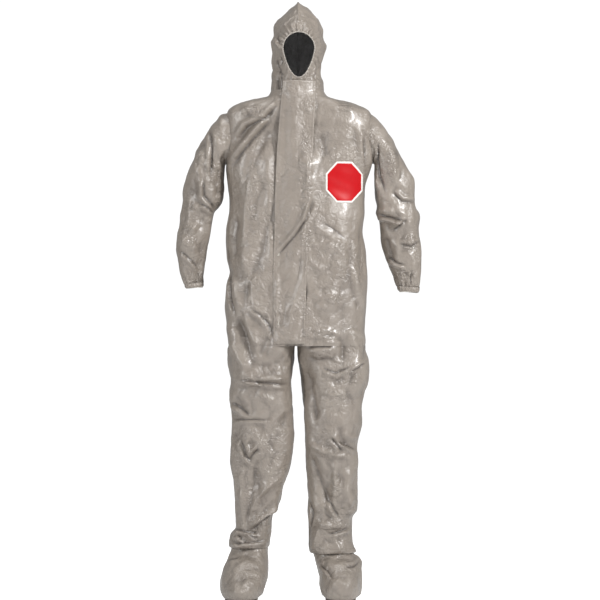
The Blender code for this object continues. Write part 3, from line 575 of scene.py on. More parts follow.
HOOD_STATIONS = [level(*row) for row in (
    (1.585, -0.0915, 0.0745, -0.0775, 0.116, 2.6), (1.600, -0.0920, 0.0750, -0.0770, 0.116, 2.6),
    (1.617, -0.0920, 0.0735, -0.0770, 0.117, 2.6), (1.640, -0.0905, 0.0695, -0.0790, 0.121, 2.6),
    (1.680, -0.0880, 0.0665, -0.0890, 0.134, 2.5), (1.705, -0.0890, 0.0700, -0.0930, 0.141, 2.4),
    (1.727, -0.0900, 0.0735, -0.0950, 0.146, 2.4), (1.741, -0.0915, 0.0765, -0.0950, 0.148, 2.3),
    (1.757, -0.0920, 0.0695, -0.0930, 0.148, 2.3), (1.770, -0.0835, 0.0660, -0.0900, 0.147, 2.2),
    (1.795, -0.0765, 0.0635, -0.0800, 0.141, 2.1), (1.808, -0.0725, 0.0600, -0.0730, 0.136, 2.1),
    (1.822, -0.0640, 0.0550, -0.0630, 0.129, 2.0), (1.834, -0.0540, 0.0480, -0.0520, 0.120, 2.0),
    (1.847, -0.0415, 0.0370, -0.0380, 0.107, 2.0), (1.857, -0.0315, 0.0275, -0.0260, 0.094, 1.9),
    (1.867, -0.0215, 0.0150, -0.0120, 0.078, 1.8), (1.874, -0.0135, 0.0045, 0.0000, 0.062, 1.8),
    (1.8785, -0.0070, -0.0040, 0.0120, 0.044, 1.8))]
HOOD_FOLDS = [
    ("crease", 0.0035, 0.010, [(-0.079, 1.700), (-0.068, 1.655), (-0.052, 1.640)]),
    ("pinch", 0.0035, 0.010, [(-0.063, 1.672), (-0.060, 1.690), (-0.067, 1.705)]),
    ("crease", 0.0032, 0.009, [(0.048, 1.690), (0.058, 1.655), (0.048, 1.635)]),
    ("crease", 0.0032, 0.009, [(0.058, 1.705), (0.066, 1.680), (0.062, 1.665)]),
    ("ridge", 0.0040, 0.009, [(-0.088, 1.762), (-0.070, 1.745), (-0.062, 1.722)]),
    ("crease", 0.0040, 0.009, [(-0.078, 1.778), (-0.066, 1.755), (-0.058, 1.738)]),
    ("crease", 0.0030, 0.009, [(-0.082, 1.640), (-0.078, 1.610), (-0.076, 1.590)]),
    ("crease", 0.0032, 0.009, [(-0.063, 1.650), (-0.061, 1.615), (-0.060, 1.590)]),
    ("ridge", -0.0105, 0.014, [(-0.080, 1.676), (-0.075, 1.630), (-0.073, 1.588)]),
    ("pinch", 0.0040, 0.008, [(-0.074, 1.668), (-0.070, 1.630), (-0.066, 1.590)]),
    ("ridge", -0.0050, 0.010, [(0.060, 1.668), (0.056, 1.650), (0.050, 1.630)]),
]

hood_rows = through(HOOD_STATIONS, 0.0028)


def face_reach(x, z):
    """1 on the edge of the face opening, less inside: an ellipse above, and below it a taper to a
    blunt chin, where half the width is (1 - t^1.3)^0.5 at the share t of the way down."""
    down = np.linspace(0, 1, 200) ** 0.5
    side, fall = FACE_HALF_WIDTH * (1 - down**1.3) ** 0.5, FACE_BELOW * down
    below = np.interp(np.arctan2(z - FACE_Z, np.abs(x - FACE_X)), -np.arctan2(fall, side)[::-1],
                      np.hypot(side, fall)[::-1])
    dx, dz = (x - FACE_X) / FACE_HALF_WIDTH, (z - FACE_Z) / FACE_ABOVE
    return np.where(dz > 0, np.hypot(dx, dz), np.hypot(x - FACE_X, z - FACE_Z) / below)


def hood_shape(points, seed):
    """Pleats out of the face opening, the raised centre seam, crumples, and the cut edge.

    Pleats: PLEAT_DEPTH * wave(angle) * exp(-distance / PLEAT_REACH), strongest over the brow.
    Seam: a ridge of HOOD_SEAM_HEIGHT over the crown and down the back. Cells inside the opening
    are drawn out to its edge, and left out where all four corners lie inside.
    """
    normal = outward(points)
    x, y, z = points[..., 0], points[..., 1], points[..., 2]
    reach = face_reach(x, z)
    front = soft_step(-normal[..., 1], -0.1, 0.25)
    angle = np.arctan2(z - FACE_Z, x - FACE_X)
    away = np.maximum(reach - 1, 0) * FACE_HALF_WIDTH
    brow = 0.45 + 0.55 * soft_step(np.sin(angle), 0.0, 0.7)
    wave = np.sin(31 * angle + 1.3 * np.sin(5 * angle)) + 0.5 * np.sin(53 * angle + 2.0)
    pleats = PLEAT_DEPTH * brow * wave * np.exp(-away / PLEAT_REACH)
    pleats *= soft_step(away, 0.0, 0.006) * front
    back = soft_step(y, 0.02, 0.06) * soft_step(z, 1.60, 1.64)
    crown = np.maximum(soft_step(z, 1.795, 1.820), back)
    seam = HOOD_SEAM_HEIGHT * np.exp(-(np.abs(x - HOOD_SEAM_X) / 0.0028) ** 1.3) * crown
    free = np.clip(soft_step(reach, 1.0, 1.35) + 1 - front, 0.15, 1)
    free *= 1 - soft_step(z, 1.855, 1.875)
    free *= soft_step(z, 1.600, 1.640) * 0.8 + 0.2
    fixed, shade = placed_folds(points, normal, HOOD_FOLDS)
    cells = [film_cells(points, seed, 0.042, 0.0056, stretch=3.0),
             film_cells(points, seed + 1, 0.020, -0.0034)]
    loose = sum(crumple_height(points, part) for part in cells)
    bent = points + normal * (pleats + seam + fixed + loose * free)[..., None]
    # Painted shade in the valleys between the pleats, added to the folds' painted shade.
    valley = np.clip(-wave, 0, 1) * brow * np.exp(-away / 0.012)
    valley *= soft_step(away, 0.001, 0.006) * front
    inside = (reach < 1) & (y < 0)
    scale = np.where(inside, 1 / np.maximum(reach, 0.2), 1.0)
    bent[..., 0] = np.where(inside, FACE_X + (x - FACE_X) * scale, bent[..., 0])
    bent[..., 2] = np.where(inside, FACE_Z + (z - FACE_Z) * scale, bent[..., 2])
    return bent, np.clip(shade + 0.80 * valley, 0, 1), inside


hood_film = film_material("hood_film", 4.1, bump=0.0095)
HOOD_MIDDLE = 118
hood_turn = np.linspace(0.5 * math.pi, 2.5 * math.pi, 2 * HOOD_MIDDLE + 1)[None, :]
hood_ring = skin(hood_rows, hood_turn)
hood_bent, hood_shade, hood_inside = hood_shape(hood_ring, 51)
hood_bent[:, -1] = hood_bent[:, 0]
for node, span in (("hood_right_half", slice(0, HOOD_MIDDLE + 1)),
                   ("hood_left_half", slice(HOOD_MIDDLE, None))):
    inside = hood_inside[:, span]
    keep = ~(inside[:-1, :-1] & inside[1:, :-1] & inside[:-1, 1:] & inside[1:, 1:])
    half = grid_object(f"{node}_cloth", hood_bent[:, span], hood_ring[:, span], hood_shade[:, span],
                       0.4 * np.ones(inside.shape), False, hood_film, keep)
    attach(half, "suit_body")
    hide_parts(node)


def ring_tube(name, centre, radius, sides, material):
    """A tube round a closed line: centre + radius * (cos a * side + sin a * up), where side and up
    square the line's direction. radius may change along the line."""
    way = np.roll(centre, -1, axis=0) - np.roll(centre, 1, axis=0)
    way /= np.linalg.norm(way, axis=1, keepdims=True)
    side = np.cross(way, [0.0, 1.0, 0.0])
    side /= np.linalg.norm(side, axis=1, keepdims=True)
    up = np.cross(side, way)
    angle = np.linspace(0, 2 * math.pi, sides + 1)
    radius = np.broadcast_to(radius, (len(centre),))
    loops = (centre[:, None] + radius[:, None, None] * (np.cos(angle)[None, :, None] * side[:, None]
             + np.sin(angle)[None, :, None] * up[:, None]))
    number = np.arange(len(centre) * sides).reshape(len(centre), sides)
    number = np.vstack([number, number[:1]])
    number = np.hstack([number, number[:, :1]])
    quads = np.stack([number[:-1, :-1], number[1:, :-1], number[1:, 1:], number[:-1, 1:]], axis=-1)
    return mesh_object(name, loops[:, :-1].reshape(-1, 3), quads.reshape(-1, 4), material)


def woven_material(name, light, dark):
    """A small flat woven band: ribs from a wave on Object coordinates, in two close tones."""
    made, tree, shader = new_material(name)
    place = add_node(tree, "ShaderNodeTexCoord").outputs["Object"]
    ribs = add_node(tree, "ShaderNodeTexWave", {"Vector": place, "Scale": 340.0, "Distortion": 2.0},
                    bands_direction="DIAGONAL").outputs["Fac"]
    set_surface(tree, shader, mixed(tree, ribs, (*dark, 1.0), (*light, 1.0)), ribs, 0.0004)
    shader["Roughness"].default_value = 0.75
    return made


# The face elastic: a rolled hem, paler than the cloth, pulled into small waves.
RIM_RADIUS = 0.0016
elastic = woven_material("face_hem", (0.54, 0.50, 0.45), (0.36, 0.33, 0.29))
turn = np.linspace(0, 2 * math.pi, 240, endpoint=False)
rim_x, rim_z = 0.05 * np.cos(turn), 0.05 * np.sin(turn)
rim_scale = 1 / face_reach(FACE_X + rim_x, FACE_Z + rim_z)
rim_x, rim_z = FACE_X + rim_x * rim_scale, FACE_Z + rim_z * rim_scale
hood_z = hood_rows[:, 1]
rim_right, rim_left, rim_front, rim_back, rim_power = (
    np.interp(rim_z, hood_z, hood_rows[:, i]) for i in (0, 2, 4, 5, 6))
rim_across = np.abs(2 * rim_x - rim_right - rim_left) / (rim_left - rim_right)
rim_deep = (1 - np.minimum(rim_across, 0.999) ** rim_power) ** (1 / rim_power)
rim_y = (rim_front + rim_back) / 2 - (rim_back - rim_front) / 2 * rim_deep
rim_wave = 0.00035 * np.sin(44 * turn) + 0.0002 * np.sin(71 * turn)
rim_line = np.stack([rim_x, rim_y + rim_wave, rim_z + rim_wave], axis=-1)
rim = ring_tube("face_elastic_hem", rim_line, RIM_RADIUS + rim_wave, 12, elastic)
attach(rim, "suit_body")
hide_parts("face_elastic")


# ---- Sleeves --------------------------------------------------------------------------------------
# Each sleeve hangs from a round root in its armhole, breaks at the elbow, and ends in a cuff hem
# that an elastic gathers. The lower sleeve reaches up across the elbow crease.

ELBOW_Z = 1.222
SLEEVE_SEEDS = {"right": 101, "left": 131}


def full_turn(columns):
    return np.linspace(0.0, 2 * math.pi, columns)[None, :]


def sleeve_station(right_end, left_end, half_depth, power=2.3):
    return (*right_end, *left_end, ARMHOLE_Y - half_depth, ARMHOLE_Y + half_depth, power)


RIGHT_SLEEVE = [sleeve_station(*row) for row in (
    ((-0.3655, 0.990), (-0.3055, 0.996), 0.0300), ((-0.3756, 1.020), (-0.3040, 1.017), 0.0365),
    ((-0.3810, 1.060), (-0.2995, 1.062), 0.0430), ((-0.3890, 1.107), (-0.2880, 1.110), 0.0490),
    ((-0.3855, 1.152), (-0.2810, 1.152), 0.0530), ((-0.3795, 1.197), (-0.2760, 1.190), 0.0560),
    ((-0.3735, 1.232), (-0.2700, 1.216), 0.0600), ((-0.3700, 1.262), (-0.2470, 1.247), 0.0640),
    ((-0.3660, 1.302), (-0.2390, 1.282), 0.0690), ((-0.3530, 1.350), (-0.2380, 1.320), 0.0740),
    ((-0.3230, 1.405), (-0.2370, 1.350), 0.0770), ((-0.2800, 1.480), (-0.2365, 1.366), 0.0790),
    ((-0.2600, 1.5035), (-0.2355, 1.3690), 0.0790), ((-0.2445, 1.5215), (-0.2340, 1.371), 0.0790),
    ((-0.2335, 1.5300), (-0.2330, 1.3715), 0.0790), ((-0.2230, 1.5335), (-0.2230, 1.372), 0.0785),
    ((-0.1980, 1.527), (-0.1980, 1.373), 0.0775))]
LEFT_SLEEVE = [sleeve_station(*row) for row in (
    ((0.3060, 0.985), (0.3785, 0.979), 0.0300), ((0.2930, 1.018), (0.3840, 1.004), 0.0370),
    ((0.2800, 1.045), (0.3880, 1.035), 0.0420), ((0.2690, 1.072), (0.3885, 1.068), 0.0460),
    ((0.2590, 1.108), (0.3860, 1.098), 0.0500), ((0.2545, 1.142), (0.3770, 1.138), 0.0530),
    ((0.2520, 1.178), (0.3735, 1.168), 0.0550), ((0.2480, 1.197), (0.3770, 1.203), 0.0580),
    ((0.2390, 1.214), (0.3640, 1.236), 0.0610), ((0.2450, 1.238), (0.3610, 1.272), 0.0640),
    ((0.2395, 1.266), (0.3610, 1.312), 0.0670), ((0.2385, 1.298), (0.3440, 1.352), 0.0720),
    ((0.2375, 1.330), (0.3150, 1.408), 0.0760), ((0.2370, 1.355), (0.2850, 1.455), 0.0780),
    ((0.2355, 1.368), (0.2560, 1.494), 0.0790), ((0.2330, 1.371), (0.2400, 1.516), 0.0790),
    ((0.2230, 1.372), (0.2230, 1.528), 0.0785), ((0.1980, 1.373), (0.1980, 1.527), 0.0775))]
SLEEVE_FOLDS = {
    "right": [
        ("crease", 0.0060, 0.014, [(-0.278, 1.478), (-0.277, 1.400), (-0.279, 1.325)]),
        ("ridge", 0.0050, 0.016, [(-0.305, 1.430), (-0.318, 1.350), (-0.300, 1.270)]),
        ("crease", 0.0060, 0.014, [(-0.302, 1.322), (-0.302, 1.268),
                                   (-0.276, 1.240), (-0.266, 1.216)]),
        ("crease", 0.0050, 0.012, [(-0.314, 1.246), (-0.290, 1.232), (-0.272, 1.214)]),
        ("ridge", 0.0040, 0.010, [(-0.345, 1.236), (-0.318, 1.228), (-0.290, 1.238)]),
        ("ridge", -0.0060, 0.014, [(-0.250, 1.360), (-0.258, 1.300), (-0.254, 1.262)]),
        ("ridge", 0.0050, 0.009, [(-0.318, 1.195), (-0.345, 1.150), (-0.376, 1.105)]),
        ("crease", 0.0035, 0.010, [(-0.376, 1.100), (-0.345, 1.068), (-0.315, 1.036)]),
        ("ridge", 0.0040, 0.009, [(-0.330, 1.190), (-0.335, 1.130), (-0.332, 1.085)]),
        ("ridge", -0.0040, 0.012, [(-0.312, 1.130), (-0.312, 1.080), (-0.322, 1.040)]),
    ],
    "left": [
        ("crease", 0.0055, 0.014, [(0.246, 1.440), (0.243, 1.380), (0.252, 1.330), (0.273, 1.272)]),
        ("ridge", 0.0055, 0.018, [(0.280, 1.440), (0.300, 1.350), (0.300, 1.290)]),
        ("ridge", 0.0055, 0.013, [(0.250, 1.222), (0.300, 1.222), (0.340, 1.206)]),
        ("crease", 0.0070, 0.014, [(0.246, 1.214), (0.300, 1.196), (0.334, 1.190)]),
        ("crease", 0.0060, 0.013, [(0.336, 1.196), (0.310, 1.172), (0.286, 1.156)]),
        ("crease", 0.0055, 0.013, [(0.362, 1.248), (0.318, 1.252), (0.290, 1.282)]),
        ("ridge", 0.0055, 0.012, [(0.292, 1.108), (0.330, 1.122), (0.366, 1.128)]),
        ("crease", 0.0055, 0.012, [(0.266, 1.076), (0.300, 1.058), (0.332, 1.050)]),
        ("crease", 0.0040, 0.010, [(0.378, 1.128), (0.350, 1.110), (0.312, 1.118)]),
        ("ridge", 0.0045, 0.010, [(0.340, 1.092), (0.362, 1.060), (0.352, 1.020)]),
        ("crease", 0.0035, 0.009, [(0.352, 1.030), (0.348, 1.004), (0.352, 0.984)]),
        ("ridge", -0.0050, 0.014, [(0.268, 1.150), (0.276, 1.100), (0.296, 1.050)]),
    ],
}
SLEEVE_WORKED = [(-0.345, 1.236, 0.030, 0.016), (-0.350, 1.150, 0.030, 0.050),
                 (-0.315, 1.400, 0.020, 0.060), (0.290, 1.380, 0.022, 0.070),
                 (0.345, 1.120, 0.034, 0.030), (0.330, 1.010, 0.050, 0.030),
                 (-0.335, 1.010, 0.050, 0.030)]
CUFFS = {
    "right": [((-0.3600, 0.976), (-0.3070, 0.981)), ((-0.3655, 0.9925), (-0.3055, 0.9985))],
    "left": [((0.3120, 0.968), (0.3730, 0.962)), ((0.3060, 0.9875), (0.3785, 0.9815))],
}


def pleated(points, count, depth, seed):
    """Gathers of an elastic: depth * a wave of count round the tube, uneven by a slow second wave."""
    angle = full_turn(points.shape[1])
    wave = np.sin(count * angle + seed) * (0.7 + 0.3 * np.sin(5 * angle + 2 * seed))
    return depth * wave * np.ones((points.shape[0], 1))


sleeve_film = film_material("sleeve_film", 7.7)
for side, stations in (("right", RIGHT_SLEEVE), ("left", LEFT_SLEEVE)):
    seed = SLEEVE_SEEDS[side]
    base = skin(through(stations, CLOTH_STEP), full_turn(124))
    cells = [film_cells(base, seed, 0.060, 0.0066, (0.6, 0.0, 1.0), 2.2),
             film_cells(base, seed + 1, 0.034, -0.0050, (-0.5, 0.0, 1.0), 2.2),
             film_cells(base, seed + 2, 0.018, 0.0021)]
    bent, shade, worked = crumpled(base, cells, SLEEVE_FOLDS[side], 0.0, SLEEVE_WORKED)
    run = np.arange(len(base))[:, None] * CLOTH_STEP
    near_cuff = 1 - soft_step(run, 0.0, 0.045)
    bent += outward(base) * (near_cuff * pleated(base, 17, 0.0022, seed))[..., None]
    bent[:, -1] = bent[:, 0]
    root = soft_step(run, run[-1] - 0.052, run[-1] - 0.034)[..., None]
    bent = bent * (1 - root) + base * root
    middle = base[:, :-1, 2].mean(axis=1)
    split = int(np.argmax(middle > ELBOW_Z + 0.045))
    pieces = {"lower_sleeve": slice(0, split + 1), "upper_sleeve": slice(split, None)}
    for part, span in pieces.items():
        cloth = grid_object(f"{side}_{part}_cloth", bent[span], base[span], shade[span],
                            worked[span], True, sleeve_film)
        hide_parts(f"{side}_{part}")
        if part == "upper_sleeve":
            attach(cloth, f"{side}_upper_arm")
        else:
            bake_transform(cloth)

    # The cuff hem: a narrow turned band with the elastic inside it.
    (low_a, low_b), (high_a, high_b) = CUFFS[side]
    ends = [sleeve_station(low_a, low_b, 0.0270), sleeve_station(high_a, high_b, 0.0298)]
    hem = skin(through(ends, 0.0016), full_turn(124))
    up = np.linspace(0, 1, len(hem))[:, None]
    roll = 0.0016 * np.sin(math.pi * np.clip(up * 1.15, 0, 1))
    roll -= 0.0024 * (1 - soft_step(up, 0, 0.2))
    gather = pleated(hem, 21, 0.0011, seed + 3) * (0.5 + 0.5 * up)
    hem_bent = hem + outward(hem) * (roll + gather)[..., None]
    hem_bent[:, -1] = hem_bent[:, 0]
    # Painted shade along the band's top, where it meets the end of the sleeve.
    dark = np.broadcast_to(soft_step(up, 0.86, 1.0) * 0.8, gather.shape)
    band = grid_object(f"{side}_cuff_hem", hem_bent, hem, dark, 0 * gather, True, sleeve_film)
    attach(band, f"{side}_forearm")
    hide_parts(f"{side}_cuff")


# ---- Trouser legs ---------------------------------------------------------------------------------
# Each leg is tucked under the body's hem, sags in bands over the thigh and knee, blouses above the
# ankle, and ends in a splash flap that hangs over the sock boot.

LEG_SPLIT_Z = 0.545
LEG_SEEDS, LEG_LEAN = {"right": 211, "left": 241}, {"right": 0.9, "left": -0.5}
CROTCH_X = {"right": -0.0155, "left": -0.0095}

# z, and the front and back y there.
LEG_DEPTH = ([0.140, 0.165, 0.200, 0.235, 0.270, 0.300, 0.360, 0.470, 0.600, 0.720, 0.830],
             [-0.052, -0.052, -0.048, -0.048, -0.052, -0.060, -0.062, -0.075, -0.086, -0.097, -0.100],
             [0.101, 0.101, 0.097, 0.097, 0.099, 0.101, 0.100, 0.098, 0.114, 0.138, 0.146])


def leg_station(z, right, left, power=2.5):
    front, back = (float(np.interp(z, LEG_DEPTH[0], LEG_DEPTH[i])) for i in (1, 2))
    return level(z, right, left, front, back, power)


RIGHT_LEG = [leg_station(*row) for row in (
    (0.162, -0.2225, -0.0965), (0.171, -0.2225, -0.0955), (0.188, -0.2215, -0.0925),
    (0.202, -0.2190, -0.0880), (0.220, -0.2060, -0.0860), (0.245, -0.2040, -0.0850),
    (0.268, -0.2045, -0.0780), (0.290, -0.2055, -0.0650), (0.310, -0.2065, -0.0585),
    (0.343, -0.2080, -0.0512), (0.385, -0.2120, -0.0410), (0.434, -0.2180, -0.0323),
    (0.480, -0.2175, -0.0290), (0.533, -0.2175, -0.0260), (0.575, -0.2165, -0.0245),
    (0.602, -0.2185, -0.0240), (0.629, -0.2250, -0.0265), (0.655, -0.2215, -0.0310),
    (0.684, -0.2190, -0.0320), (0.710, -0.2230, -0.0295), (0.738, -0.2280, -0.0260),
    (0.762, -0.2290, -0.0215, 2.8), (0.783, -0.2240, -0.0172, 3.0), (0.797, -0.2190, -0.0160, 3.2),
    (0.812, -0.2120, -0.0160, 3.2), (0.826, -0.2080, -0.0160, 3.2))]
LEFT_LEG = [leg_station(*row) for row in (
    (0.145, 0.0325, 0.1730), (0.154, 0.0310, 0.1700), (0.170, 0.0290, 0.1650),
    (0.200, 0.0275, 0.1640), (0.235, 0.0262, 0.1650), (0.255, 0.0258, 0.1680),
    (0.272, 0.0262, 0.1820), (0.292, 0.0270, 0.1863), (0.327, 0.0276, 0.1860),
    (0.380, 0.0225, 0.1850), (0.434, 0.0172, 0.1840), (0.482, 0.0165, 0.1790),
    (0.515, 0.0158, 0.1860), (0.548, 0.0150, 0.1940), (0.580, 0.0130, 0.1935),
    (0.612, 0.0110, 0.1940), (0.645, 0.0095, 0.2030), (0.684, 0.0050, 0.2130),
    (0.720, 0.0005, 0.2160), (0.755, -0.0065, 0.2150, 2.8), (0.780, -0.0090, 0.2085, 3.0),
    (0.797, -0.0095, 0.2045, 3.2), (0.812, -0.0095, 0.1985, 3.2), (0.826, -0.0095, 0.1950, 3.2))]
LEG_FOLDS = {
    "right": [
        ("ridge", 0.0050, 0.012, [(-0.205, 0.712), (-0.150, 0.704),
                                  (-0.105, 0.700), (-0.045, 0.690)]),
        ("crease", 0.0050, 0.013, [(-0.190, 0.694), (-0.120, 0.684), (-0.040, 0.676)]),
        ("ridge", -0.0040, 0.014, [(-0.150, 0.740), (-0.100, 0.735), (-0.060, 0.750)]),
        ("crease", 0.0065, 0.014, [(-0.218, 0.622), (-0.184, 0.600), (-0.156, 0.578)]),
        ("crease", 0.0035, 0.010, [(-0.210, 0.567), (-0.140, 0.567), (-0.090, 0.565)]),
        ("ridge", 0.0045, 0.012, [(-0.140, 0.650), (-0.105, 0.632), (-0.075, 0.628)]),
        ("crease", 0.0060, 0.014, [(-0.189, 0.508), (-0.172, 0.460), (-0.150, 0.428)]),
        ("ridge", -0.0050, 0.014, [(-0.168, 0.500), (-0.150, 0.475), (-0.140, 0.455)]),
        ("crease", 0.0040, 0.011, [(-0.128, 0.478), (-0.150, 0.456), (-0.158, 0.440)]),
        ("ridge", 0.0050, 0.013, [(-0.082, 0.420), (-0.100, 0.370), (-0.128, 0.320)]),
        ("crease", 0.0060, 0.012, [(-0.064, 0.284), (-0.118, 0.244), (-0.160, 0.214)]),
        ("ridge", 0.0040, 0.010, [(-0.070, 0.330), (-0.110, 0.290), (-0.150, 0.250)]),
        ("crease", 0.0060, 0.011, [(-0.206, 0.220), (-0.170, 0.214), (-0.128, 0.208)]),
        ("crease", 0.0060, 0.010, [(-0.194, 0.204), (-0.180, 0.190), (-0.166, 0.180)]),
        ("crease", 0.0050, 0.010, [(-0.160, 0.206), (-0.145, 0.196), (-0.132, 0.192)]),
        ("crease", 0.0045, 0.010, [(-0.214, 0.186), (-0.190, 0.176),
                                   (-0.150, 0.182), (-0.100, 0.186)]),
        ("ridge", 0.0070, 0.010, [(-0.199, 0.697), (-0.162, 0.688),
                                  (-0.109, 0.695), (-0.040, 0.700)]),
        ("ridge", -0.0070, 0.013, [(-0.135, 0.423), (-0.154, 0.322), (-0.170, 0.237)]),
        ("ridge", 0.0065, 0.011, [(-0.189, 0.413), (-0.186, 0.322), (-0.178, 0.237)]),
        ("ridge", 0.0075, 0.011, [(-0.058, 0.391), (-0.104, 0.354),
                                  (-0.143, 0.306), (-0.167, 0.242)]),
        ("ridge", 0.0080, 0.010, [(-0.056, 0.298), (-0.109, 0.266), (-0.167, 0.229)]),
        ("ridge", 0.0070, 0.009, [(-0.175, 0.514), (-0.159, 0.466),
                                  (-0.138, 0.482), (-0.117, 0.514)]),
        ("ridge", -0.0060, 0.012, [(-0.213, 0.530), (-0.197, 0.498), (-0.181, 0.460)]),
        ("ridge", 0.0055, 0.012, [(-0.093, 0.551), (-0.066, 0.583), (-0.034, 0.604)]),
        ("ridge", -0.0050, 0.012, [(-0.098, 0.508), (-0.082, 0.466), (-0.093, 0.413)]),
        ("ridge", 0.0050, 0.010, [(-0.221, 0.455), (-0.210, 0.375), (-0.199, 0.295)]),
    ],
    "left": [
        ("crease", 0.0040, 0.012, [(0.020, 0.792), (0.060, 0.794), (0.105, 0.796)]),
        ("ridge", 0.0050, 0.013, [(0.030, 0.770), (0.070, 0.772), (0.110, 0.764)]),
        ("crease", 0.0045, 0.013, [(0.068, 0.730), (0.112, 0.712), (0.160, 0.732)]),
        ("crease", 0.0045, 0.012, [(0.206, 0.745), (0.186, 0.728), (0.160, 0.716)]),
        ("ridge", 0.0040, 0.012, [(0.070, 0.680), (0.110, 0.668), (0.150, 0.680)]),
        ("ridge", -0.0060, 0.016, [(0.030, 0.720), (0.040, 0.640), (0.050, 0.560)]),
        ("crease", 0.0055, 0.013, [(0.096, 0.512), (0.118, 0.486), (0.130, 0.468)]),
        ("crease", 0.0045, 0.012, [(0.115, 0.500), (0.150, 0.484), (0.176, 0.470)]),
        ("ridge", 0.0050, 0.010, [(0.130, 0.525), (0.160, 0.510), (0.186, 0.512)]),
        ("crease", 0.0060, 0.013, [(0.094, 0.312), (0.106, 0.285), (0.120, 0.262)]),
        ("ridge", 0.0040, 0.012, [(0.140, 0.360), (0.160, 0.320), (0.150, 0.285)]),
        ("crease", 0.0055, 0.011, [(0.090, 0.206), (0.120, 0.214), (0.156, 0.226)]),
        ("ridge", 0.0045, 0.011, [(0.060, 0.240), (0.100, 0.232), (0.140, 0.244)]),
        ("crease", 0.0035, 0.010, [(0.034, 0.310), (0.045, 0.270), (0.036, 0.220)]),
        ("ridge", -0.0040, 0.012, [(0.070, 0.190), (0.100, 0.180), (0.130, 0.186)]),
        ("ridge", 0.0085, 0.011, [(0.024, 0.498), (0.072, 0.467), (0.115, 0.455), (0.160, 0.451)]),
        ("ridge", -0.0085, 0.014, [(0.030, 0.466), (0.051, 0.407), (0.072, 0.349), (0.099, 0.295)]),
        ("ridge", 0.0072, 0.010, [(0.111, 0.447), (0.107, 0.370), (0.103, 0.290)]),
        ("ridge", -0.0070, 0.015, [(0.014, 0.748), (0.030, 0.657), (0.051, 0.551)]),
        ("ridge", 0.0060, 0.012, [(0.072, 0.652), (0.104, 0.641), (0.147, 0.652)]),
        ("ridge", 0.0060, 0.011, [(0.099, 0.524), (0.125, 0.487), (0.152, 0.460)]),
        ("ridge", -0.0055, 0.012, [(0.123, 0.551), (0.128, 0.508), (0.141, 0.482)]),
        ("ridge", 0.0055, 0.010, [(0.062, 0.226), (0.054, 0.189), (0.046, 0.146)]),
        ("ridge", 0.0050, 0.010, [(0.104, 0.200), (0.117, 0.173), (0.125, 0.146)]),
        ("crease", 0.0050, 0.010, [(0.031, 0.242), (0.030, 0.194), (0.036, 0.146)]),
        ("ridge", 0.0060, 0.012, [(0.157, 0.413), (0.141, 0.349), (0.157, 0.285)]),
    ],
}

LEG_WORKED = [
    (-0.120, 0.690, 0.070, 0.024), (-0.142, 0.480, 0.024, 0.036), (-0.110, 0.255, 0.060, 0.030),
    (-0.170, 0.200, 0.050, 0.020), (-0.135, 0.390, 0.016, 0.050), (0.110, 0.480, 0.060, 0.024),
    (0.112, 0.350, 0.020, 0.070), (0.100, 0.240, 0.060, 0.024), (0.150, 0.700, 0.050, 0.030),
    (0.070, 0.770, 0.050, 0.020)]


def under_body(points, side):
    """The leg's top laid just inside the body: towards z = 0.797, y goes to the body's own front or
    back less 1.2 mm, and less 5 mm above it, all round but at the crotch."""
    x, y, z = (points[..., i] for i in range(3))
    right, left, front, back, power = (np.interp(HIP_Z, body_rows[:, 1], body_rows[:, i])
                                       for i in (0, 2, 4, 5, 6))
    across = np.clip(np.abs(2 * x - right - left) / (left - right), 0, 0.9985)
    half = (back - front) / 2 - 0.0012 - 0.0035 * soft_step(z, 0.792, 0.812)
    reach = half * (1 - across**power) ** (1 / power)
    target = (front + back) / 2 + np.where(y < (front + back) / 2, -reach, reach)
    share = soft_step(z, 0.735, 0.797) * soft_step(np.abs(x - CROTCH_X[side]), 0.002, 0.075)
    points = points.copy()
    points[..., 1] = y + (target - y) * share
    return points


leg_film = film_material("leg_film", 12.9)
for side, stations in (("right", RIGHT_LEG), ("left", LEFT_LEG)):
    seed, lean = LEG_SEEDS[side], LEG_LEAN[side]
    base = under_body(skin(through(stations, CLOTH_STEP), full_turn(170)), side)
    shared = soft_step(base[..., 2], 0.742, 0.790)
    tucked = soft_step(base[..., 2], 0.798, 0.806)
    cells = [film_cells(base, seed, 0.075, 0.0082, (lean, 0.0, 0.8), 2.4),
             film_cells(base, seed + 1, 0.040, -0.0060, (-lean, 0.0, 0.7), 2.2),
             film_cells(base, seed + 2, 0.020, 0.0026)]
    bent, shade, worked = crumpled(base, cells, LEG_FOLDS[side] + HEM_FOLDS, 0.0, LEG_WORKED,
                                   body_cells, shared)

    # The top is tucked in, the splash flap's lip turns in, and a stitched line runs above it.
    hem_z = stations[0][1]
    lip = 1 - soft_step(base[..., 2], hem_z, hem_z + 0.004)
    stitch = np.exp(-((base[..., 2] - hem_z - 0.013) / 0.0013) ** 2)
    turned_in = 0.0010 * tucked + 0.0022 * lip + 0.0010 * stitch
    bent -= outward(base) * turned_in[..., None]
    bent[:, -1] = bent[:, 0]
    shade = np.clip(np.maximum(shade, 0.35 * stitch), 0, 1)
    split = int(np.argmax(base[:, 0, 2] > LEG_SPLIT_Z))
    pieces = {"shin": slice(0, split + 1), "thigh": slice(split, None)}
    for part, span in pieces.items():
        cloth = grid_object(f"{side}_{part}_cloth", bent[span], base[span], shade[span],
                            worked[span], True, leg_film)
        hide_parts(f"{side}_{part}")
        if part == "thigh":
            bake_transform(cloth)
        else:
            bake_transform(cloth)


# ---- Sock boots -----------------------------------------------------------------------------------
# A full rounded sock of the same film, sewn inside the leg above the ankle, with a flat sole patch.

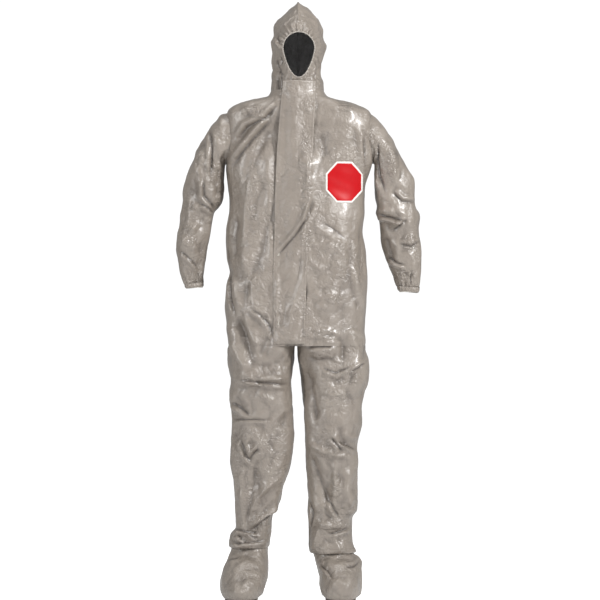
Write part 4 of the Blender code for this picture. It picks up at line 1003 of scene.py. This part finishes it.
BOOT_STATIONS = {
    "right": [level(*row) for row in (
        (0.0042, -0.2330, -0.1370, -0.150, 0.106, 2.4), (0.0090, -0.2400, -0.1290, -0.160, 0.111, 2.3),
        (0.0200, -0.2475, -0.1180, -0.167, 0.115, 2.2), (0.0420, -0.2500, -0.1090, -0.167, 0.117, 2.2),
        (0.0700, -0.2480, -0.1020, -0.152, 0.117, 2.2), (0.0950, -0.2425, -0.1000, -0.120, 0.113, 2.2),
        (0.1150, -0.2350, -0.1000, -0.090, 0.108, 2.2), (0.1330, -0.2260, -0.1000, -0.064, 0.101, 2.3),
        (0.1500, -0.2180, -0.1000, -0.048, 0.096, 2.4), (0.1700, -0.2150, -0.1000, -0.042, 0.093, 2.5),
        (0.1980, -0.2080, -0.0930, -0.041, 0.093, 2.5))],
    "left": [level(*row) for row in (
        (0.0042, 0.0860, 0.1710, -0.150, 0.106, 2.4), (0.0090, 0.0775, 0.1790, -0.160, 0.111, 2.3),
        (0.0200, 0.0690, 0.1865, -0.167, 0.115, 2.2), (0.0420, 0.0620, 0.1920, -0.167, 0.117, 2.2),
        (0.0700, 0.0600, 0.1940, -0.152, 0.117, 2.2), (0.0950, 0.0545, 0.1940, -0.120, 0.113, 2.2),
        (0.1150, 0.0485, 0.1930, -0.088, 0.108, 2.2), (0.1300, 0.0435, 0.1840, -0.064, 0.100, 2.3),
        (0.1430, 0.0400, 0.1680, -0.048, 0.095, 2.4), (0.1650, 0.0360, 0.1580, -0.042, 0.092, 2.5),
        (0.1980, 0.0340, 0.1580, -0.041, 0.092, 2.5))],
}
BOOT_FOLDS = {
    "right": [("crease", 0.0035, 0.010, [(-0.236, 0.118), (-0.215, 0.128), (-0.190, 0.134)]),
              ("ridge", 0.0040, 0.010, [(-0.200, 0.110), (-0.165, 0.120), (-0.135, 0.108)]),
              ("ridge", 0.0040, 0.009, [(-0.185, 0.050), (-0.160, 0.066), (-0.140, 0.052)])],
    "left": [("crease", 0.0035, 0.010, [(0.060, 0.112), (0.085, 0.096), (0.100, 0.075)]),
             ("ridge", 0.0040, 0.010, [(0.075, 0.120), (0.110, 0.108), (0.150, 0.118)]),
             ("crease", 0.0035, 0.010, [(0.190, 0.122), (0.170, 0.108), (0.140, 0.104)]),
             ("ridge", 0.0040, 0.009, [(0.095, 0.052), (0.120, 0.066), (0.145, 0.050)])],
}
BOOT_SEEDS = {"right": 311, "left": 337}

for side, stations in BOOT_STATIONS.items():
    seed = BOOT_SEEDS[side]
    base = skin(through(stations, 0.0028), full_turn(160))
    calm = 1 - soft_step(base[..., 2], 0.006, 0.022)
    calm = np.maximum(calm, 0.7 * soft_step(base[..., 2], 0.135, 0.160))
    cells = [film_cells(base, seed, 0.048, 0.0056, (1.0, 0.3, 0.3), 2.0),
             film_cells(base, seed + 1, 0.024, -0.0034)]
    bent, shade, worked = crumpled(base, cells, BOOT_FOLDS[side], calm)
    bent[:, -1] = bent[:, 0]
    boot = grid_object(f"{side}_sock_boot_cloth", bent, base, shade, worked, True, leg_film)
    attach(boot, f"{side}_lower_leg")
    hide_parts(f"{side}_sock_boot")


# ---- Storm flap -----------------------------------------------------------------------------------
# A long double strip sewn down on the left and stuck shut on the right. It arches over the zip,
# runs from the chin to the groin, and its top covers the throat.

FLAP_LOW, FLAP_HIGH = 0.802, 1.629
FLAP_EASE = 0.0022
FLAP_EDGES = {"z": [0.802, 1.030, 1.160, 1.253, 1.410, 1.568, 1.629],
              "free": [-0.0835, -0.0840, -0.0800, -0.0790, -0.0725, -0.0600, -0.0520],
              "sewn": [0.0140, 0.0215, 0.0270, 0.0320, 0.0400, 0.0480, 0.0500]}
flap_heights = np.linspace(FLAP_LOW, FLAP_HIGH, 250)
flap_share = np.linspace(0, 1, 46)

# Both long edges bend softly where they change direction.
free_x = np.interp(flap_heights, FLAP_EDGES["z"], FLAP_EDGES["free"])
sewn_x = np.interp(flap_heights, FLAP_EDGES["z"], FLAP_EDGES["sewn"])
smooth = np.hanning(25) / np.hanning(25).sum()
free_x, sewn_x = (np.convolve(np.pad(line, 12, mode="edge"), smooth, mode="valid")
                  for line in (free_x, sewn_x))
flap_x = free_x[:, None] + (sewn_x - free_x)[:, None] * flap_share[None, :]
flap_z = np.broadcast_to(flap_heights[:, None], flap_x.shape)


def front_surface(x, z):
    """y of the smooth front of the body or hood at (x, z), from the same rows."""
    table = np.vstack([body_rows[body_rows[:, 1] < 1.592], hood_rows[hood_rows[:, 1] > 1.594]])
    right, left, front, back, power = (np.interp(z, table[:, 1], table[:, i])
                                       for i in (0, 2, 4, 5, 6))
    across = np.minimum(np.abs(2 * x - right - left) / (left - right), 0.999)
    deep = (1 - across**power) ** (1 / power)
    return (front + back) / 2 - (back - front) / 2 * deep


on_body = np.stack([flap_x, front_surface(flap_x, flap_z), flap_z], axis=-1)
flap_normal = outward(on_body)
to_zip = np.abs(flap_x - PLACKET_X)

# The flap keeps at least this far off the front: over the zip, more over the slider, and over the
# crumples of the panels. The larger of the two lifts is a smooth maximum.
slider_zone = soft_step(flap_z, 1.500, 1.545) * (1 - soft_step(flap_z, 1.590, 1.615))
over_zip = 0.0030 + 0.0042 * (1 - soft_step(to_zip, 0.004, 0.052))
over_zip += 0.0038 * slider_zone * (1 - soft_step(to_zip, 0.006, 0.034))
flat_flap = on_body + flap_normal * over_zip[..., None]
fixed, flap_shade = placed_folds(on_body, flap_normal, BODY_FOLDS)
loose = sum(crumple_height(on_body, cells) for cells in body_cells) + fixed
least = np.maximum(loose * (1 - body_calm(on_body)) + 0.0012,
                   0.0054 * (1 - soft_step(to_zip, 0.004, 0.030)) + 0.0012)
least = np.maximum(least, 0.0086 * slider_zone * (1 - soft_step(to_zip, 0.007, 0.032)))
edge = np.minimum(flap_share, 1 - flap_share)[None, :] * (sewn_x - free_x)[:, None]
ends = np.minimum(flap_heights - FLAP_LOW, FLAP_HIGH - flap_heights)[:, None]
inner = soft_step(edge, 0.002, 0.016) * soft_step(ends, 0.001, 0.012)
chin = 1 - 0.75 * soft_step(flap_z, 1.560, 1.590)
free_lift = over_zip + loose * (0.35 + 0.65 * inner) * chin
lift = (free_lift + least + np.sqrt((free_lift - least) ** 2 + FLAP_EASE**2)) / 2
# Painted shade in the flap's own hollows, as on the panels.
flap_shade = np.maximum(flap_shade, painted_cavity_shade(lift))
bent_flap = on_body + flap_normal * lift[..., None]
turned = 1 - soft_step(np.minimum(edge, ends), 0.0, 0.0032)
bent_flap -= flap_normal * (0.0009 * turned)[..., None]
seam_line = np.exp(-((edge - 0.0065) / 0.0010) ** 2)
bent_flap -= flap_normal * (0.0007 * seam_line)[..., None]
flap_shade = np.clip(flap_shade * inner + 0.22 * seam_line, 0, 1)
flap_film = film_material("flap_film", 1.3)
flap = grid_object("storm_flap_cloth", bent_flap, flat_flap, flap_shade,
                   spots(flat_flap, BODY_WORKED), False, flap_film)
wall = flap.modifiers.new("double cloth", "SOLIDIFY")
wall.thickness = 0.0008
wall.offset = -1
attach(flap, "flap")
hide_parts("storm_flap")


# ---- Zip, stops and adhesive ----------------------------------------------------------------------
# A coil zip on woven tapes under the flap, with a metal slider and puller, and a strip of adhesive
# with a pale backing inside the flap's free edge.


def plain_material(name, colour, roughness, metallic=0.0, grain=260.0, relief=0.0002):
    """Small moulded or cast pieces: a fine grain in the colour and in the relief."""
    made, tree, shader = new_material(name)
    place = add_node(tree, "ShaderNodeTexCoord").outputs["Object"]
    noise = add_node(tree, "ShaderNodeTexNoise",
                     {"Vector": place, "Scale": grain, "Detail": 4.0}).outputs["Fac"]
    dark = (*(0.82 * c for c in colour), 1.0)
    set_surface(tree, shader, mixed(tree, noise, dark, (*colour, 1.0)), noise, relief)
    shader["Roughness"].default_value = roughness
    shader["Metallic"].default_value = metallic
    return made


NODE_FINISH = {
    woven_material("zip_tape_weave", (0.34, 0.33, 0.31), (0.22, 0.215, 0.205)):
        ["right_zip_tape", "left_zip_tape"],
    plain_material("zip_coil", (0.24, 0.235, 0.225), 0.42): ["right_zip_teeth", "left_zip_teeth"],
    plain_material("zip_metal", (0.48, 0.47, 0.45), 0.32, 1.0):
        ["zip_slider", "zip_puller", "zip_bottom_stop", "right_top_stop", "left_top_stop"],
    woven_material("wrist_elastic_weave", (0.70, 0.67, 0.62), (0.52, 0.49, 0.45)):
        ["right_wrist_elastic", "left_wrist_elastic"],
    plain_material("sole_film", (0.30, 0.262, 0.222), 0.55, relief=0.0006, grain=90.0):
        ["right_sole", "left_sole"],
}
for finish, nodes in NODE_FINISH.items():
    for node in nodes:
        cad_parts[node].data.materials.clear()
        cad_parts[node].data.materials.append(finish)

# Inside the flap's free edge runs the adhesive, under a pale paper backing that is a little wavy.
STRIP_EDGE, STRIP_WIDTH, STRIP_ENDS = 0.005, 0.013, slice(8, -8)
strip_x = free_x[STRIP_ENDS, None] + STRIP_EDGE + STRIP_WIDTH * np.linspace(0.0, 1.0, 9)[None, :]
strip_z = np.broadcast_to(flap_heights[STRIP_ENDS, None], strip_x.shape)
strip_lift = np.broadcast_to(lift[STRIP_ENDS, 4:5] - 0.0014, strip_x.shape)
strip_y = front_surface(strip_x, strip_z) - np.minimum(strip_lift, 0.0030)
strip_points = np.stack([strip_x, strip_y, strip_z], axis=-1)
strip = grid_object("adhesive_backing_strip", strip_points, strip_points, 0 * strip_x, 0 * strip_x,
                    False, plain_material("adhesive_backing", (0.52, 0.49, 0.43), 0.55))
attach(strip, "flap")
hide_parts("adhesive_strip")


# ---- Badge ----------------------------------------------------------------------------------------
# A bare eight-sided patch on the left breast: a glossy red face on a slightly larger white one.


def badge_layer(name, lift, inset, material):
    """Rings of an eight-sided plate laid on the breast: at angle a its radius is 1 over the
    largest of cos(a - k * 45 degrees), stretched to the badge's width and height."""
    angle = np.linspace(0, 2 * math.pi, 161)[None, :]
    spokes = np.arange(8)[:, None] * math.pi / 4
    reach = 1 / np.cos(angle - spokes).max(axis=0)[None, :]
    ring = np.linspace(0.0, 1.0, 26)[:, None]
    x = BADGE_X + (BADGE_HALF_WIDTH - inset) * ring * reach * np.cos(angle)
    z = BADGE_Z + (BADGE_HALF_HEIGHT - inset) * ring * reach * np.sin(angle)
    wave = 0.0007 * np.sin(70 * x + 1.0) * np.sin(55 * z) + 0.0004 * np.sin(150 * z + 60 * x)
    rim = 0.0010 * (ring > 0.985)
    points = np.stack([x, front_surface(x, z) - lift - wave + rim, z], axis=-1)[::-1]
    return grid_object(name, points, points, 0 * x, 0 * x, True, material)


def badge_material(name, colour):
    """Printed film: even colour with a faint cloud, a gloss coat and slight waviness."""
    made = plain_material(name, colour, 0.42, grain=34.0, relief=0.0007)
    shader = made.node_tree.nodes["Principled BSDF"]
    shader.inputs["Specular IOR Level"].default_value = 0.20
    shader.inputs["Coat Weight"].default_value = 0.03
    shader.inputs["Coat Roughness"].default_value = 0.25
    return made


for name, node, lift, inset, colour in (
        ("badge_backing_patch", "badge_backing", 0.0016, 0.0, (0.86, 0.84, 0.80)),
        ("badge_face_patch", "badge_face", 0.0024, 0.0050, (0.54, 0.006, 0.010))):
    patch = badge_layer(name, lift, inset, badge_material(name, colour))
    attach(patch, "suit_body")
    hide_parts(node)


# ---- Studio ---------------------------------------------------------------------------------------
# A pale floor and soft light, and a long lens square to the front.

FLOOR_HALF, FLOOR_GLOW = 12, 0.86
WORLD_LIGHT, WORLD_SEEN = 0.27, 1.05

floor_paint, floor_tree, floor_shader = new_material("floor_paint")
floor_shader["Base Color"].default_value = (0.92, 0.92, 0.92, 1.0)
floor_shader["Roughness"].default_value = 0.9
floor_shader["Emission Color"].default_value = (1.0, 1.0, 1.0, 1.0)
lit = add_node(floor_tree, "ShaderNodeLightPath").outputs["Is Camera Ray"]
glowing = math_node(floor_tree, "MULTIPLY", lit, FLOOR_GLOW)
floor_tree.links.new(glowing, floor_shader["Emission Strength"])
floor = mesh_object("floor", [(x * FLOOR_HALF, y * FLOOR_HALF, 0)
                              for x, y in ((-1, -1), (1, -1), (1, 1), (-1, 1))],
                    [(0, 1, 2, 3)], floor_paint)

world = bpy.data.worlds.new("studio")
world.use_nodes = True
sky = world.node_tree
seen = add_node(sky, "ShaderNodeLightPath").outputs["Is Camera Ray"]
glow = add_node(sky, "ShaderNodeMix", {"Factor": seen, "A": WORLD_LIGHT, "B": WORLD_SEEN},
                data_type="FLOAT")
sky.links.new(glow.outputs["Result"], sky.nodes["Background"].inputs["Strength"])
sky.nodes["Background"].inputs["Color"].default_value = (1.0, 1.0, 1.0, 1.0)
bpy.context.scene.world = world
bpy.context.scene.view_settings.view_transform = "Standard"


def area_light(name, place, aim, size, power):
    data = bpy.data.lights.new(name, "AREA")
    data.shape = "RECTANGLE"
    data.size, data.size_y = size
    data.energy = power
    light = bpy.data.objects.new(name, data)
    light.location = place
    light.rotation_euler = (Vector(aim) - Vector(place)).to_track_quat("-Z", "Y").to_euler()
    bpy.context.scene.collection.objects.link(light)


area_light("key", (2.7, -2.5, 2.7), (0, 0, 0.95), (0.5, 0.8), 148)
area_light("fill", (-3.0, -2.2, 1.6), (0, 0, 0.9), (0.6, 1.6), 52)
area_light("top", (-0.3, -0.6, 4.2), (0, 0, 1.0), (1.2, 1.2), 30)

CAMERA_DISTANCE = 11.0
VIEW_HEIGHT, VIEW_MIDDLE = 1.890, 0.941
SENSOR = 36.0
camera_data = bpy.data.cameras.new("camera")
camera_data.sensor_width = SENSOR
camera_data.lens = SENSOR * CAMERA_DISTANCE / VIEW_HEIGHT
camera_data.clip_end = 60.0
camera = bpy.data.objects.new("camera", camera_data)
camera.location = (0.0, -CAMERA_DISTANCE, VIEW_MIDDLE)
camera.rotation_euler = (math.pi / 2, 0.0, 0.0)
bpy.context.scene.collection.objects.link(camera)
bpy.context.scene.camera = camera
